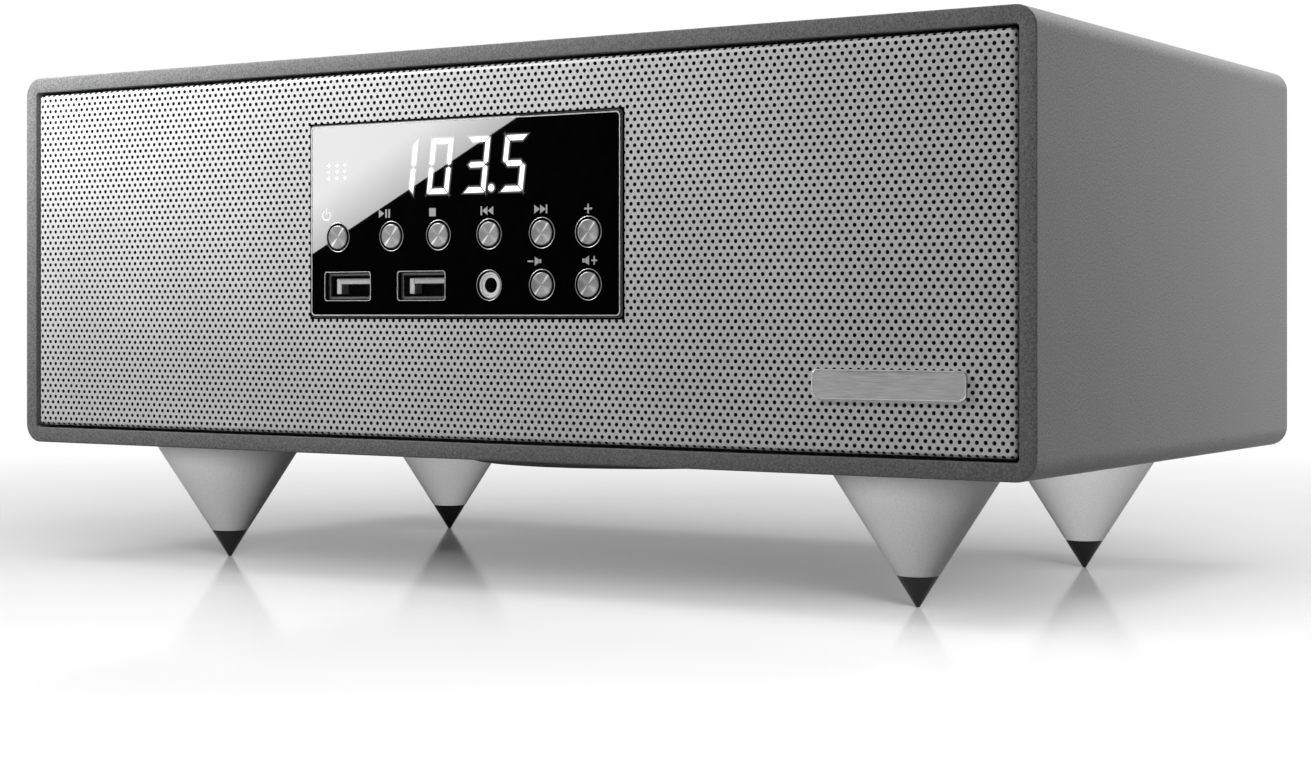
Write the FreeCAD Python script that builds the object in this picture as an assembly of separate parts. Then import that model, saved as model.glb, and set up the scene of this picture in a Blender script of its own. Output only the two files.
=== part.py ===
import FreeCAD, Part
import math
import os

# A mini hifi system: a low wooden cabinet on four pointed feet, with two speakers behind
# a metal grille, a woofer that fires downwards, and a control panel set into the grille.
# Millimetres, +Z up, the front faces -Y. The origin lies on the standing surface, below
# the middle of the whole object.

Vector = FreeCAD.Vector
X_AXIS = Vector(1, 0, 0)
Y_AXIS = Vector(0, 1, 0)
Z_AXIS = Vector(0, 0, 1)

# ---- cabinet ----
cabinet_width = 300.0
cabinet_height = 100.0
cabinet_depth = 168.0
cabinet_corner_radius = 5.0
cabinet_wall = 9.0
edge_lip = 4.0              # thin edge of the wall that stays in front of each rebate
edge_softening = 0.4
overrun = 1.0               # how far a cutter runs past the face that it opens
tip_gap = 0.5               # left between a screw's tip and the end of its hole
grille_rebate_depth = 8.0
rear_recess = 10.0          # from the cabinet's rear edge to the rear panel's face
rear_panel_thickness = 4.0
rear_panel_gap = 0.3
baffle_thickness = 9.0

# ---- feet ----
foot_height = 32.2
foot_radius = 20.2
foot_side_inset = 44.0      # from the cabinet's side to the foot's axis
foot_end_inset = 34.0       # from the cabinet's front or rear to the foot's axis
foot_tip_height = 7.4
foot_flat_radius = 0.5
tip_spigot_radius = 1.6
tip_spigot_length = 5.0
foot_bolt_radius = 2.5
foot_bolt_reach = 12.0      # how far the bolt goes into the foot
foot_bolt_head_radius = 4.2
foot_bolt_head_height = 3.0
foot_bolt_key_radius = 2.0
foot_bolt_key_depth = 1.8

# ---- grille ----
grille_gap = 0.8
grille_recess = 0.2
grille_sheet = 0.8
grille_bend_radius = 1.2    # at the tray's four corners
grille_fold_radius = 1.1    # along the fold of its sides
foam_thickness = 1.0
foam_fit = 0.3
badge_width = 37.2
badge_height = 6.6
badge_thickness = 1.0
badge_corner_radius = 1.0
badge_edge_radius = 0.3
badge_side_inset = 15.8     # from the cabinet's side to the badge plate's end
badge_bottom_inset = 16.6   # from the cabinet's underside to its lower edge

# ---- control panel ----
window_width = 94.2
window_height = 48.4
window_top_inset = 17.3     # from the cabinet's top to the window's upper edge
window_thickness = 2.5
window_proud = 0.3
window_gap = 0.4
window_corner_radius = 1.0
window_bevel = 0.3
housing_inset = 1.2         # window's edge to the housing's outside
housing_wall = 1.6
housing_flange = 5.0
housing_flange_thickness = 2.0
housing_depth = 20.0
housing_fit = 0.3
guide_thickness = 1.5
board_thickness = 1.6
board_fit = 0.3
boss_radius = 2.2
boss_places = ((-40.5, 18.0), (40.5, 18.0), (-23.2, -18.8), (17.0, -18.8))
panel_screw_radius = 1.0
panel_screw_head_radius = 1.9
panel_screw_head_height = 1.2
panel_screw_length = 6.0
display_width = 48.0
display_height = 16.4
display_thickness = 8.0
display_gap = 0.3
display_centre_x = 0.2
display_rise = 12.7         # above the window's middle
nfc_coil_width = 12.0
nfc_coil_height = 14.0
nfc_coil_thickness = 0.4
nfc_coil_corner_radius = 0.5
nfc_coil_centre_x = -36.4
nfc_coil_rise = 12.5

# ---- buttons ----
upper_row = -4.1            # heights in the panel are from the window's middle
lower_row = -16.4
button_radius = 3.0
button_hole_radius = 3.5
button_proud = 0.3          # in front of the window's face
button_edge_radius = 0.15
button_travel = 0.5
button_flange_radius = 4.1
button_flange_thickness = 0.8
button_flange_gap = 0.3
button_stop_gap = 0.3
stem_radius = 1.5
stem_clearance = 0.25
switch_size = 6.0
switch_height = 3.5
plunger_radius = 1.7
plunger_proud = 0.9
plunger_depth = 0.7
plunger_clearance = 0.2
BUTTONS = {
    "power_button": (-38.0, upper_row),
    "play_button": (-20.9, upper_row),
    "stop_button": (-6.3, upper_row),
    "previous_button": (9.0, upper_row),
    "next_button": (24.5, upper_row),
    "preset_button": (37.75, upper_row),
    "volume_down_button": (24.5, lower_row),
    "volume_up_button": (37.75, lower_row),
}

# ---- sockets in the control panel ----
usb_left_x = -34.9
usb_right_x = -11.6
usb_rim_width = 14.2
usb_rim_height = 6.6
usb_rim_thickness = 0.4
usb_corner_radius = 0.4
usb_shell_width = 13.3
usb_shell_height = 5.9
usb_shell_wall = 0.35
usb_front = 0.7             # depth of the rim behind the cabinet's front plane
usb_mouth_gap = 0.25
usb_base_thickness = 1.6
usb_tongue_width = 11.2
usb_tongue_thickness = 1.9
usb_tongue_lift = 0.9
usb_tongue_setback = 1.2
aux_x = 9.0
aux_bush_radius = 3.3
aux_bore_radius = 1.8
aux_bore_length = 15.0
aux_body_size = 9.0
aux_end_wall = 1.0
aux_fit = 0.25

# ---- speakers ----
cutout_clearance = 0.4
screw_radius = 1.2
screw_head_radius = 1.9
screw_head_height = 1.1
screw_length = 8.0
screw_fit = 0.1
FULL_RANGE = {
    "flange_radius": 35.6,
    "flange_thickness": 2.0,
    "seat_radius": 30.8,        # recess in the flange that takes the surround's edge
    "seat_level": 0.2,
    "opening_radius": 28.2,
    "drum_radius": 31.0,        # straight part of the basket that passes the cutout
    "drum_length": 4.0,
    "basket_wall": 1.2,
    "shelf_radius": 25.0,
    "shelf_level": 14.0,
    "neck_radius": 20.5,
    "basket_depth": 18.5,
    "basket_hole_radius": 9.6,
    "window_width": 16.0,
    "pole_radius": 7.7,
    "gap_radius": 8.9,
    "plate_radius": 21.0,
    "plate_thickness": 3.0,
    "magnet_hole_radius": 12.0,
    "magnet_radius": 23.0,
    "magnet_thickness": 9.0,
    "coil_radius": 8.0,
    "former_wall": 0.2,
    "winding_wall": 0.35,
    "winding_length": 6.0,
    "cone_radius": 24.4,
    "cone_depth": 10.0,
    "cone_wall": 0.8,
    "dust_cap_radius": 9.8,
    "dust_cap_height": 4.5,
    "travel": 1.5,
}
WOOFER = {
    "flange_radius": 46.0,
    "flange_thickness": 2.0,
    "seat_radius": 39.6,
    "seat_level": -1.0,
    "opening_radius": 36.6,
    "drum_radius": 41.0,
    "drum_length": 9.0,
    "basket_wall": 1.4,
    "shelf_radius": 31.0,
    "shelf_level": 22.0,
    "neck_radius": 26.0,
    "basket_depth": 28.0,
    "basket_hole_radius": 14.3,
    "window_width": 22.0,
    "pole_radius": 12.2,
    "gap_radius": 13.5,
    "plate_radius": 32.0,
    "plate_thickness": 4.0,
    "magnet_hole_radius": 17.0,
    "magnet_radius": 35.0,
    "magnet_thickness": 12.0,
    "coil_radius": 12.5,
    "former_wall": 0.25,
    "winding_wall": 0.4,
    "winding_length": 9.0,
    "cone_radius": 33.0,
    "cone_depth": 14.0,
    "cone_wall": 1.0,
    "dust_cap_radius": 15.0,
    "dust_cap_height": 5.0,
    "travel": 2.0,
}
basket_rim = 0.5            # solid ring that is left above the basket's windows
BASKET_WINDOWS = 4
surround_sheet = 0.6
glue_land = 1.5             # how far the surround lies on the cone, and the shelf past the neck
seat_fit = 0.3
dust_cap_wall = 0.6
glue_gap = 0.05
spider_wave = 1.2
SPIDER_FOLDS = 6
SCREWS_PER_SPEAKER = 4
cover_fit = 0.3
cover_wall = 1.5
cover_height = 3.9
cover_mesh = 0.6
cover_hub_radius = 7.0
cover_slot_width = 5.0
cover_rib_width = 2.2
COVER_SPOKES = 8

# ---- rear panel ----
rear_screw_edge = 2.7       # panel's edge to a screw's axis
port_radius = 16.0
port_wall = 1.6
port_length = 58.0
port_flange_radius = 23.0
port_flange_thickness = 2.0
port_edge_radius = 1.1
inlet_side_inset = 29.0     # from the cabinet's inner wall to the inlet's middle
rear_row_height = 30.0      # the inlet, the switch and the aerial socket share one row
inlet_flange_width = 31.0
inlet_flange_height = 17.0
inlet_flange_thickness = 2.0
inlet_corner_radius = 3.0
inlet_body_width = 21.0
inlet_body_height = 13.0
inlet_body_depth = 18.0
inlet_mouth_width = 15.6
inlet_mouth_height = 8.4
inlet_mouth_depth = 12.5
inlet_pin_radius = 1.2
inlet_pin_pitch = 8.6
inlet_pin_length = 9.5
switch_spacing = 36.0       # from the inlet's middle to the switch's
rocker_frame_width = 21.0
rocker_frame_height = 15.0
rocker_frame_thickness = 2.0
rocker_frame_corner_radius = 1.0
rocker_body_width = 19.0
rocker_body_height = 12.8
rocker_body_depth = 15.0
rocker_wall = 1.2
rocker_fit = 0.25
rocker_back = 2.0           # from the pivot's axis to the rocker's flat back
rocker_end_rise = 4.0       # from the pivot's axis to the ends of the rocker's face
rocker_middle_rise = 2.9    # and to the middle of its face
rocker_tilt = 9.0           # either side of level
rocker_pivot_depth = 2.2    # pivot's axis behind the frame's face
rocker_pin_radius = 1.0
rocker_pin_length = 0.7
rocker_pin_end_gap = 0.1
rocker_pin_clearance = 0.06
aerial_spacing = 32.0       # from the switch's middle to the aerial socket's
aerial_barrel_radius = 4.75
aerial_bore_radius = 4.05
aerial_barrel_length = 8.5
aerial_flange_radius = 8.0
aerial_flange_thickness = 1.5
aerial_pin_radius = 1.15
aerial_pin_setback = 1.0
aerial_tail_radius = 4.0
aerial_tail_length = 8.0
panel_cut_fit = 0.2

# ---- boards in the cabinet ----
spacer_height = 6.0
spacer_radius = 3.0
main_board_width = 78.0
main_board_length = 84.0
main_board_side_gap = 7.0   # from the cabinet's inner wall
main_board_rear_gap = 8.4   # from the rear panel
main_board_screw_inset = 4.0
main_screw_bite = 5.0
transformer_size = (34.0, 30.0, 28.0)
transformer_place = (-12.0, -18.0)
transformer_core_wall = 6.0
transformer_winding_bulge = 3.0
transformer_winding_radius = 3.0
capacitor_radius = 8.0
capacitor_height = 26.0
capacitor_edge_radius = 1.0
CAPACITOR_PLACES = ((16.0, -28.0), (16.0, -8.0))
heat_sink_width = 50.0
heat_sink_length = 24.0
heat_sink_base = 3.0
heat_sink_height = 12.0
heat_sink_fin = 1.6
HEAT_SINK_FINS = 8
heat_sink_place = (0.0, 18.0)
radio_module_size = (18.0, 24.0, 2.4)
radio_module_place = (0.0, -24.0)

# ---- derived levels ----
front_reach = max(button_proud + window_proud, badge_thickness - grille_recess)
front_plane = -(cabinet_depth + front_reach) / 2 + front_reach
rear_plane = front_plane + cabinet_depth
underside = foot_height
cabinet_mid = underside + cabinet_height / 2
floor_inside = underside + cabinet_wall
inner_width = cabinet_width - 2 * cabinet_wall
inner_height = cabinet_height - 2 * cabinet_wall
rebate_width = cabinet_width - 2 * edge_lip
rebate_height = cabinet_height - 2 * edge_lip
window_mid = underside + cabinet_height - window_top_inset - window_height / 2
badge_centre_x = cabinet_width / 2 - badge_side_inset - badge_width / 2
window_back = window_thickness - window_proud
button_flange_front = window_back + button_flange_gap
guide_front = button_flange_front + button_flange_thickness + button_travel + button_stop_gap
guide_back = guide_front + guide_thickness
board_front = window_back + display_gap + display_thickness
board_back = board_front + board_thickness
switch_front = board_front - switch_height
plunger_front = switch_front - plunger_proud
housing_width = window_width - 2 * housing_inset
housing_height = window_height - 2 * housing_inset
speaker_centre_x = (inner_width / 2 + housing_width / 2 + housing_flange) / 2
rear_face = rear_plane - rear_recess
rear_row = underside + rear_row_height
inlet_centre_x = inner_width / 2 - inlet_side_inset
switch_centre_x = inlet_centre_x - switch_spacing
aerial_centre_x = switch_centre_x - aerial_spacing
port_centre_x = -speaker_centre_x
main_board_centre_x = inner_width / 2 - main_board_side_gap - main_board_width / 2
main_board_centre_y = rear_face - rear_panel_thickness - main_board_rear_gap - main_board_length / 2
main_board_underside = floor_inside + spacer_height
main_board_top = main_board_underside + board_thickness


# ---- shapes that the pieces are cut from ----
def slab(width, height, x, z, front, back, radius=0.0):
    """A block seen from the front as width by height about (x, z), between two depths."""
    corner = Vector(x - width / 2, front_plane + front, z - height / 2)
    block = Part.makeBox(width, back - front, height, corner)
    if radius <= 0:
        return block
    long_edges = [e for e in block.Edges if abs(e.tangentAt(e.FirstParameter).y) > 0.99]
    return block.makeFillet(radius, long_edges)


def rod(radius, x, z, front, back):
    """A round bar along Y between two depths."""
    return Part.makeCylinder(radius, back - front, Vector(x, front_plane + front, z), Y_AXIS)


def post(radius, x, y, bottom, top):
    """A round bar along Z."""
    return Part.makeCylinder(radius, top - bottom, Vector(x, y, bottom), Z_AXIS)


def brick(width, length, x, y, bottom, top):
    """A block seen from above as width by length about (x, y)."""
    return Part.makeBox(width, length, top - bottom, Vector(x - width / 2, y - length / 2, bottom))


def turned(start, *steps):
    """A solid turned about Z. Each step is a point (radius, height), or a pair: arc's middle, end."""
    at = Vector(start[0], 0, start[1])
    first = at
    edges = []
    for step in steps + (start,):
        if isinstance(step[0], tuple):
            middle = Vector(step[0][0], 0, step[0][1])
            end = Vector(step[1][0], 0, step[1][1])
            edges.append(Part.Arc(at, middle, end).toShape())
        else:
            end = Vector(step[0], 0, step[1])
            if (end - at).Length > 1e-7:
                edges.append(Part.LineSegment(at, end).toShape())
        at = end
    assert (at - first).Length < 1e-7
    face = Part.Face(Part.Wire(edges))
    return face.revolve(Vector(0, 0, 0), Z_AXIS, 360)


def joined(shapes):
    """One solid from shapes that meet."""
    return shapes[0].multiFuse(shapes[1:]).removeSplitter() if len(shapes) > 1 else shapes[0]


def without(shape, cutters):
    """The shape with every cutter taken out of it."""
    return shape.cut(Part.makeCompound(cutters)) if cutters else shape


def moved(shape, placement):
    """A copy of the shape in another place."""
    copy = shape.copy()
    copy.Placement = placement.multiply(copy.Placement)
    return copy


# ---- cabinet and feet ----
def foot_places():
    x = cabinet_width / 2 - foot_side_inset
    return [(side * x, y) for y in foot_rows() for side in (-1, 1)]


def foot_rows():
    return (front_plane + foot_end_inset, rear_plane - foot_end_inset)


def rear_screw_places():
    """Along the long edges of the rear panel, and at the middle of its short ones."""
    x = rebate_width / 2 - rear_panel_gap - rear_screw_edge
    z = rebate_height / 2 - rear_panel_gap - rear_screw_edge
    edge_row = [(share * x, side * z) for share in (-1, -1 / 3, 1 / 3, 1) for side in (-1, 1)]
    return [(px, cabinet_mid + pz) for px, pz in edge_row + [(-x, 0), (x, 0)]]


def main_board_screw_places(side):
    x = main_board_width / 2 - main_board_screw_inset
    y = main_board_length / 2 - main_board_screw_inset
    middle = side * main_board_centre_x
    return [(middle + sx * x, main_board_centre_y + sy * y) for sx in (-1, 1) for sy in (-1, 1)]


def cabinet_shell():
    body = slab(cabinet_width, cabinet_height, 0, cabinet_mid, 0, cabinet_depth, cabinet_corner_radius)
    ends = [e for e in body.Edges if abs(e.tangentAt(e.FirstParameter).y) < 0.01]
    body = body.makeFillet(edge_softening, ends)
    shoulder = rear_recess + rear_panel_thickness
    cutters = [
        slab(inner_width, inner_height, 0, cabinet_mid, -overrun, cabinet_depth + overrun),
        slab(rebate_width, rebate_height, 0, cabinet_mid, -overrun, grille_rebate_depth),
        slab(rebate_width, rebate_height, 0, cabinet_mid, cabinet_depth - shoulder, cabinet_depth + overrun),
        post(WOOFER["drum_radius"] + cutout_clearance, 0, 0, underside - overrun, floor_inside + overrun),
    ]
    for x, y in foot_places():
        cutters.append(post(foot_bolt_radius + screw_fit, x, y, underside - overrun, floor_inside + overrun))
    for x, z in rear_screw_places():
        tip = cabinet_depth - rear_recess - screw_length - tip_gap
        cutters.append(rod(screw_radius + screw_fit, x, z, tip, cabinet_depth))
    for x, y in speaker_screw_places(WOOFER):
        cutters.append(post(screw_radius + screw_fit, x, y, underside - overrun, underside + screw_length))
    for side in (-1, 1):
        for x, y in main_board_screw_places(side):
            bottom = floor_inside - main_screw_bite - tip_gap
            cutters.append(post(screw_radius + screw_fit, x, y, bottom, floor_inside + overrun))
    return without(body, cutters)


def foot_slope(height):
    """The foot's radius at a height above the standing surface."""
    return foot_flat_radius + (foot_radius - foot_flat_radius) * height / foot_height


def foot_cone(x, y):
    start = Vector(x, y, foot_tip_height)
    cone = Part.makeCone(foot_slope(foot_tip_height), foot_radius, foot_height - foot_tip_height, start)
    bolt_end = underside - foot_bolt_reach - tip_gap
    bolt_hole = post(foot_bolt_radius + screw_fit, x, y, bolt_end, underside + overrun)
    spigot_hole = post(tip_spigot_radius + screw_fit, x, y, 0, foot_tip_height + tip_spigot_length + tip_gap)
    return without(cone, [bolt_hole, spigot_hole])


def foot_tip(x, y):
    point = Part.makeCone(foot_flat_radius, foot_slope(foot_tip_height), foot_tip_height, Vector(x, y, 0))
    spigot = post(tip_spigot_radius, x, y, foot_tip_height / 2, foot_tip_height + tip_spigot_length)
    return joined([point, spigot])


def foot_bolt(x, y):
    top = floor_inside + foot_bolt_head_height
    shank = post(foot_bolt_radius, x, y, underside - foot_bolt_reach, top)
    head = post(foot_bolt_head_radius, x, y, floor_inside, top)
    socket = post(foot_bolt_key_radius, x, y, top - foot_bolt_key_depth, top + overrun)
    return joined([shank, head]).cut(socket)


# ---- baffle and grille ----
def baffle():
    back = grille_rebate_depth + baffle_thickness
    board = slab(inner_width, inner_height, 0, cabinet_mid, grille_rebate_depth, back)
    hole_width = housing_width + 2 * housing_fit
    hole_height = housing_height + 2 * housing_fit
    cutters = [slab(hole_width, hole_height, 0, window_mid, 0, back + overrun)]
    screw_hole = panel_screw_radius + screw_fit
    for x, z in housing_screw_places():
        cutters.append(rod(screw_hole, x, z, 0, grille_rebate_depth + panel_screw_length))
    for side in (-1, 1):
        hole = FULL_RANGE["drum_radius"] + cutout_clearance
        cutters.append(rod(hole, side * speaker_centre_x, cabinet_mid, 0, back + overrun))
        for x, z in speaker_screw_places(FULL_RANGE):
            place = (side * speaker_centre_x + x, cabinet_mid + z)
            cutters.append(rod(screw_radius + screw_fit, *place, 0, back + overrun))
    return without(board, cutters)


def grille():
    width = rebate_width - 2 * grille_gap
    height = rebate_height - 2 * grille_gap
    back = grille_rebate_depth - foam_thickness
    tray = slab(width, height, 0, cabinet_mid, grille_recess, back, grille_bend_radius)
    tray = tray.makeFillet(grille_fold_radius, front_edges(tray))
    inside = (width - 2 * grille_sheet, height - 2 * grille_sheet)
    hollow = slab(*inside, 0, cabinet_mid, grille_recess + grille_sheet, back + overrun)
    panel = (window_width + 2 * window_gap, window_height + 2 * window_gap)
    opening = slab(*panel, 0, window_mid, -overrun, back)
    return without(tray, [hollow, opening])


def front_edges(block):
    """The edges that lie in the block's foremost face."""
    front = block.BoundBox.YMin
    return [e for e in block.Edges if e.BoundBox.YMax < front + 1e-4]


def foam_strip():
    front = grille_rebate_depth - foam_thickness
    outside = (rebate_width - 2 * foam_fit, rebate_height - 2 * foam_fit)
    ring = slab(*outside, 0, cabinet_mid, front, grille_rebate_depth)
    return ring.cut(slab(inner_width, inner_height, 0, cabinet_mid, 0, grille_rebate_depth + overrun))


def badge():
    z = underside + badge_bottom_inset + badge_height / 2
    front = grille_recess - badge_thickness
    plate = slab(badge_width, badge_height, badge_centre_x, z, front, grille_recess, badge_corner_radius)
    return plate.makeFillet(badge_edge_radius, front_edges(plate))


# ---- control panel ----
def panel_point(x, rise):
    """A place in the control panel, with its height from the window's middle."""
    return (x, window_mid + rise)


def usb_places():
    return {"usb_socket_left": usb_left_x, "usb_socket_right": usb_right_x}


def control_window():
    size = (window_width, window_height)
    pane = slab(*size, 0, window_mid, -window_proud, window_back, window_corner_radius)
    pane = pane.makeChamfer(window_bevel, front_edges(pane))
    cutters = []
    for x, rise in BUTTONS.values():
        cutters.append(rod(button_hole_radius, *panel_point(x, rise), -overrun, window_back + overrun))
    aux_place = panel_point(aux_x, lower_row)
    cutters.append(rod(button_hole_radius, *aux_place, -overrun, window_back + overrun))
    mouth = (usb_rim_width + 2 * usb_mouth_gap, usb_rim_height + 2 * usb_mouth_gap)
    for x in usb_places().values():
        place = panel_point(x, lower_row)
        cutters.append(slab(*mouth, *place, -overrun, window_back + overrun, usb_corner_radius))
    return without(pane, cutters)


def housing_screw_places():
    x = housing_width / 2 + housing_flange / 2
    z = housing_height / 2 - housing_flange
    return [(sx * x, window_mid + sz * z) for sx in (-1, 1) for sz in (-1, 1)]


def control_housing():
    flange_front = grille_rebate_depth - housing_flange_thickness
    flange_width = housing_width + 2 * housing_flange
    flange = slab(flange_width, housing_height, 0, window_mid, flange_front, grille_rebate_depth)
    tube = slab(housing_width, housing_height, 0, window_mid, window_back, housing_depth)
    inside_width = housing_width - 2 * housing_wall
    inside_height = housing_height - 2 * housing_wall
    hollow = [
        slab(inside_width, inside_height, 0, window_mid, 0, guide_front),
        slab(inside_width, inside_height, 0, window_mid, guide_back, housing_depth + overrun),
    ]
    body = without(joined([tube, flange]), hollow)
    guide_mid = (guide_front + guide_back) / 2
    bosses = [rod(boss_radius, x, window_mid + z, guide_mid, board_front) for x, z in boss_places]
    body = joined([body] + bosses)
    screen = (display_width + 2 * board_fit, display_height + 2 * board_fit)
    cutters = [
        slab(*screen, *panel_point(display_centre_x, display_rise), 0, board_front),
        rod(aux_bush_radius + aux_fit, *panel_point(aux_x, lower_row), 0, guide_back + overrun),
    ]
    for x, rise in BUTTONS.values():
        cutters.append(rod(stem_radius + stem_clearance, *panel_point(x, rise), 0, guide_back + overrun))
    port = (usb_rim_width + 2 * board_fit, usb_rim_height + 2 * board_fit)
    for x in usb_places().values():
        cutters.append(slab(*port, *panel_point(x, lower_row), 0, guide_back + overrun))
    for x, z in boss_places:
        tip = board_back - panel_screw_length - tip_gap
        cutters.append(rod(panel_screw_radius + screw_fit, x, window_mid + z, tip, board_front + overrun))
    for x, z in housing_screw_places():
        cutters.append(rod(panel_screw_radius + screw_fit, x, z, 0, grille_rebate_depth + overrun))
    return without(body, cutters)


def control_board():
    width = housing_width - 2 * housing_wall - 2 * board_fit
    height = housing_height - 2 * housing_wall - 2 * board_fit
    board = slab(width, height, 0, window_mid, board_front, board_back)
    hole = panel_screw_radius + screw_fit
    cutters = [rod(hole, x, window_mid + z, 0, housing_depth) for x, z in boss_places]
    cutters.append(rod(aux_bush_radius + aux_fit, *panel_point(aux_x, lower_row), 0, housing_depth))
    return without(board, cutters)


def led_display():
    place = panel_point(display_centre_x, display_rise)
    return slab(display_width, display_height, *place, board_front - display_thickness, board_front)


def nfc_coil():
    place = panel_point(nfc_coil_centre_x, nfc_coil_rise)
    size = (nfc_coil_width, nfc_coil_height)
    return slab(*size, *place, window_back, window_back + nfc_coil_thickness, nfc_coil_corner_radius)


def tact_switch(x, rise):
    body = slab(switch_size, switch_size, *panel_point(x, rise), switch_front, board_front)
    depth = switch_front + plunger_depth + button_travel + plunger_clearance
    return body.cut(rod(plunger_radius + plunger_clearance, *panel_point(x, rise), 0, depth))


def button(x, rise):
    """The cap with its flange and stem, and the plunger of the switch that it works."""
    place = panel_point(x, rise)
    front = -window_proud - button_proud
    flange_back = button_flange_front + button_flange_thickness
    cap = rod(button_radius, *place, front, flange_back)
    cap = cap.makeFillet(button_edge_radius, front_edges(cap))
    flange = rod(button_flange_radius, *place, button_flange_front, flange_back)
    stem = rod(stem_radius, *place, button_flange_front, plunger_front)
    plunger = rod(plunger_radius, *place, plunger_front, switch_front + plunger_depth)
    return Part.makeCompound([joined([cap, flange, stem]), plunger])


def usb_socket(x):
    place = panel_point(x, lower_row)
    rim_back = usb_front + usb_rim_thickness
    rim = slab(usb_rim_width, usb_rim_height, *place, usb_front, rim_back, usb_corner_radius)
    shell = slab(usb_shell_width, usb_shell_height, *place, usb_front, board_front)
    inside = (usb_shell_width - 2 * usb_shell_wall, usb_shell_height - 2 * usb_shell_wall)
    shell = joined([rim, shell]).cut(slab(*inside, *place, 0, board_front + overrun))
    base = slab(*inside, *place, board_front - usb_base_thickness, board_front)
    tongue_place = (place[0], place[1] + usb_tongue_lift)
    tongue_front = usb_front + usb_tongue_setback
    tongue = slab(usb_tongue_width, usb_tongue_thickness, *tongue_place, tongue_front, board_front)
    return Part.makeCompound([shell, joined([base, tongue])])


def aux_jack():
    place = panel_point(aux_x, lower_row)
    tail = aux_bore_length + aux_end_wall
    bush = rod(aux_bush_radius, *place, 0, tail)
    body = slab(aux_body_size, aux_body_size, *place, guide_back + aux_fit, board_front)
    return joined([bush, body]).cut(rod(aux_bore_radius, *place, -overrun, aux_bore_length))


def panel_screw(x, z, head_depth, direction):
    """A small screw along Y: its head starts at head_depth and its shank goes the given way."""
    head_end = head_depth - direction * panel_screw_head_height
    tip = head_depth + direction * panel_screw_length
    head = rod(panel_screw_head_radius, x, z, min(head_depth, head_end), max(head_depth, head_end))
    shank = rod(panel_screw_radius, x, z, min(head_depth, tip), max(head_depth, tip))
    return joined([head, shank])


def control_screws():
    board = [panel_screw(x, window_mid + z, board_back, -1) for x, z in boss_places]
    flange_front = grille_rebate_depth - housing_flange_thickness
    flange = [panel_screw(x, z, flange_front, 1) for x, z in housing_screw_places()]
    return Part.makeCompound(board + flange)


# ---- speakers, built about Z with the mounting plane at zero and the sound going up ----
def speaker_screw_places(size):
    radius = (size["drum_radius"] + cutout_clearance + size["flange_radius"]) / 2
    turns = [math.radians(45 + 360 * n / SCREWS_PER_SPEAKER) for n in range(SCREWS_PER_SPEAKER)]
    return [(radius * math.cos(a), radius * math.sin(a)) for a in turns]


def speaker_frame(size):
    wall = size["basket_wall"]
    drum = size["drum_radius"]
    shelf = size["shelf_radius"]
    neck = size["neck_radius"]
    seat = size["seat_level"]
    ledge = seat - wall
    drum_end = -size["drum_length"]
    shelf_top = -size["shelf_level"]
    bottom = -size["basket_depth"]
    frame = turned(
        (size["flange_radius"], 0),
        (size["flange_radius"], size["flange_thickness"]),
        (size["seat_radius"], size["flange_thickness"]),
        (size["seat_radius"], seat),
        (size["opening_radius"], seat),
        (size["opening_radius"], ledge),
        (drum - wall, ledge),
        (drum - wall, drum_end),
        (shelf - wall, shelf_top),
        (neck, shelf_top),
        (neck, bottom + wall),
        (size["basket_hole_radius"], bottom + wall),
        (size["basket_hole_radius"], bottom),
        (neck + wall, bottom),
        (neck + wall, shelf_top - wall),
        (shelf, shelf_top - wall),
        (drum, drum_end),
        (drum, 0),
    )
    flange_top = size["flange_thickness"] + overrun
    hole = screw_radius + screw_fit
    cutters = [post(hole, x, y, -overrun, flange_top) for x, y in speaker_screw_places(size)]
    opening = brick(size["window_width"], 2 * drum, 0, drum, shelf_top + wall, drum_end - basket_rim)
    for n in range(BASKET_WINDOWS):
        turn = FreeCAD.Rotation(Z_AXIS, 360 * n / BASKET_WINDOWS)
        cutters.append(moved(opening, FreeCAD.Placement(Vector(), turn)))
    return without(frame, cutters)


def magnet_stack(size):
    """Top plate, ring magnet, and the back plate with its pole."""
    top = -size["basket_depth"]
    thick = size["plate_thickness"]
    magnet_top = top - thick
    magnet_bottom = magnet_top - size["magnet_thickness"]
    plate = post(size["plate_radius"], 0, 0, magnet_top, top)
    plate = plate.cut(post(size["gap_radius"], 0, 0, magnet_top, top))
    ring = post(size["magnet_radius"], 0, 0, magnet_bottom, magnet_top)
    ring = ring.cut(post(size["magnet_hole_radius"], 0, 0, magnet_bottom, magnet_top))
    back = post(size["plate_radius"], 0, 0, magnet_bottom - thick, magnet_bottom)
    pole = post(size["pole_radius"], 0, 0, magnet_bottom - thick, top)
    return Part.makeCompound([plate, ring, joined([back, pole])])


def cone_neck(size):
    return size["coil_radius"] + size["former_wall"] + glue_gap


def voice_coil(size):
    inner = size["coil_radius"]
    former = inner + size["former_wall"]
    winding = former + size["winding_wall"]
    middle = -size["basket_depth"] - size["plate_thickness"] / 2
    winding_top = middle + size["winding_length"] / 2
    bottom = middle - size["winding_length"] / 2
    top = size["seat_level"] - size["cone_depth"]
    return turned(
        (inner, bottom),
        (winding, bottom),
        (winding, winding_top),
        (former, winding_top),
        (former, top),
        (inner, top),
    )


def dome(radius, height, base, wall):
    """A shallow spherical cap of even thickness, standing on its rim."""

    def arc_middle(span, rise):
        ball = (span * span + rise * rise) / (2 * rise)
        half = math.asin(span / ball) / 2
        return (ball * math.sin(half), base + rise - ball + ball * math.cos(half))

    return turned(
        (0, base + height),
        (arc_middle(radius, height), (radius, base)),
        (radius - wall, base),
        (arc_middle(radius - wall, height - wall), (0, base + height - wall)),
    )


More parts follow.
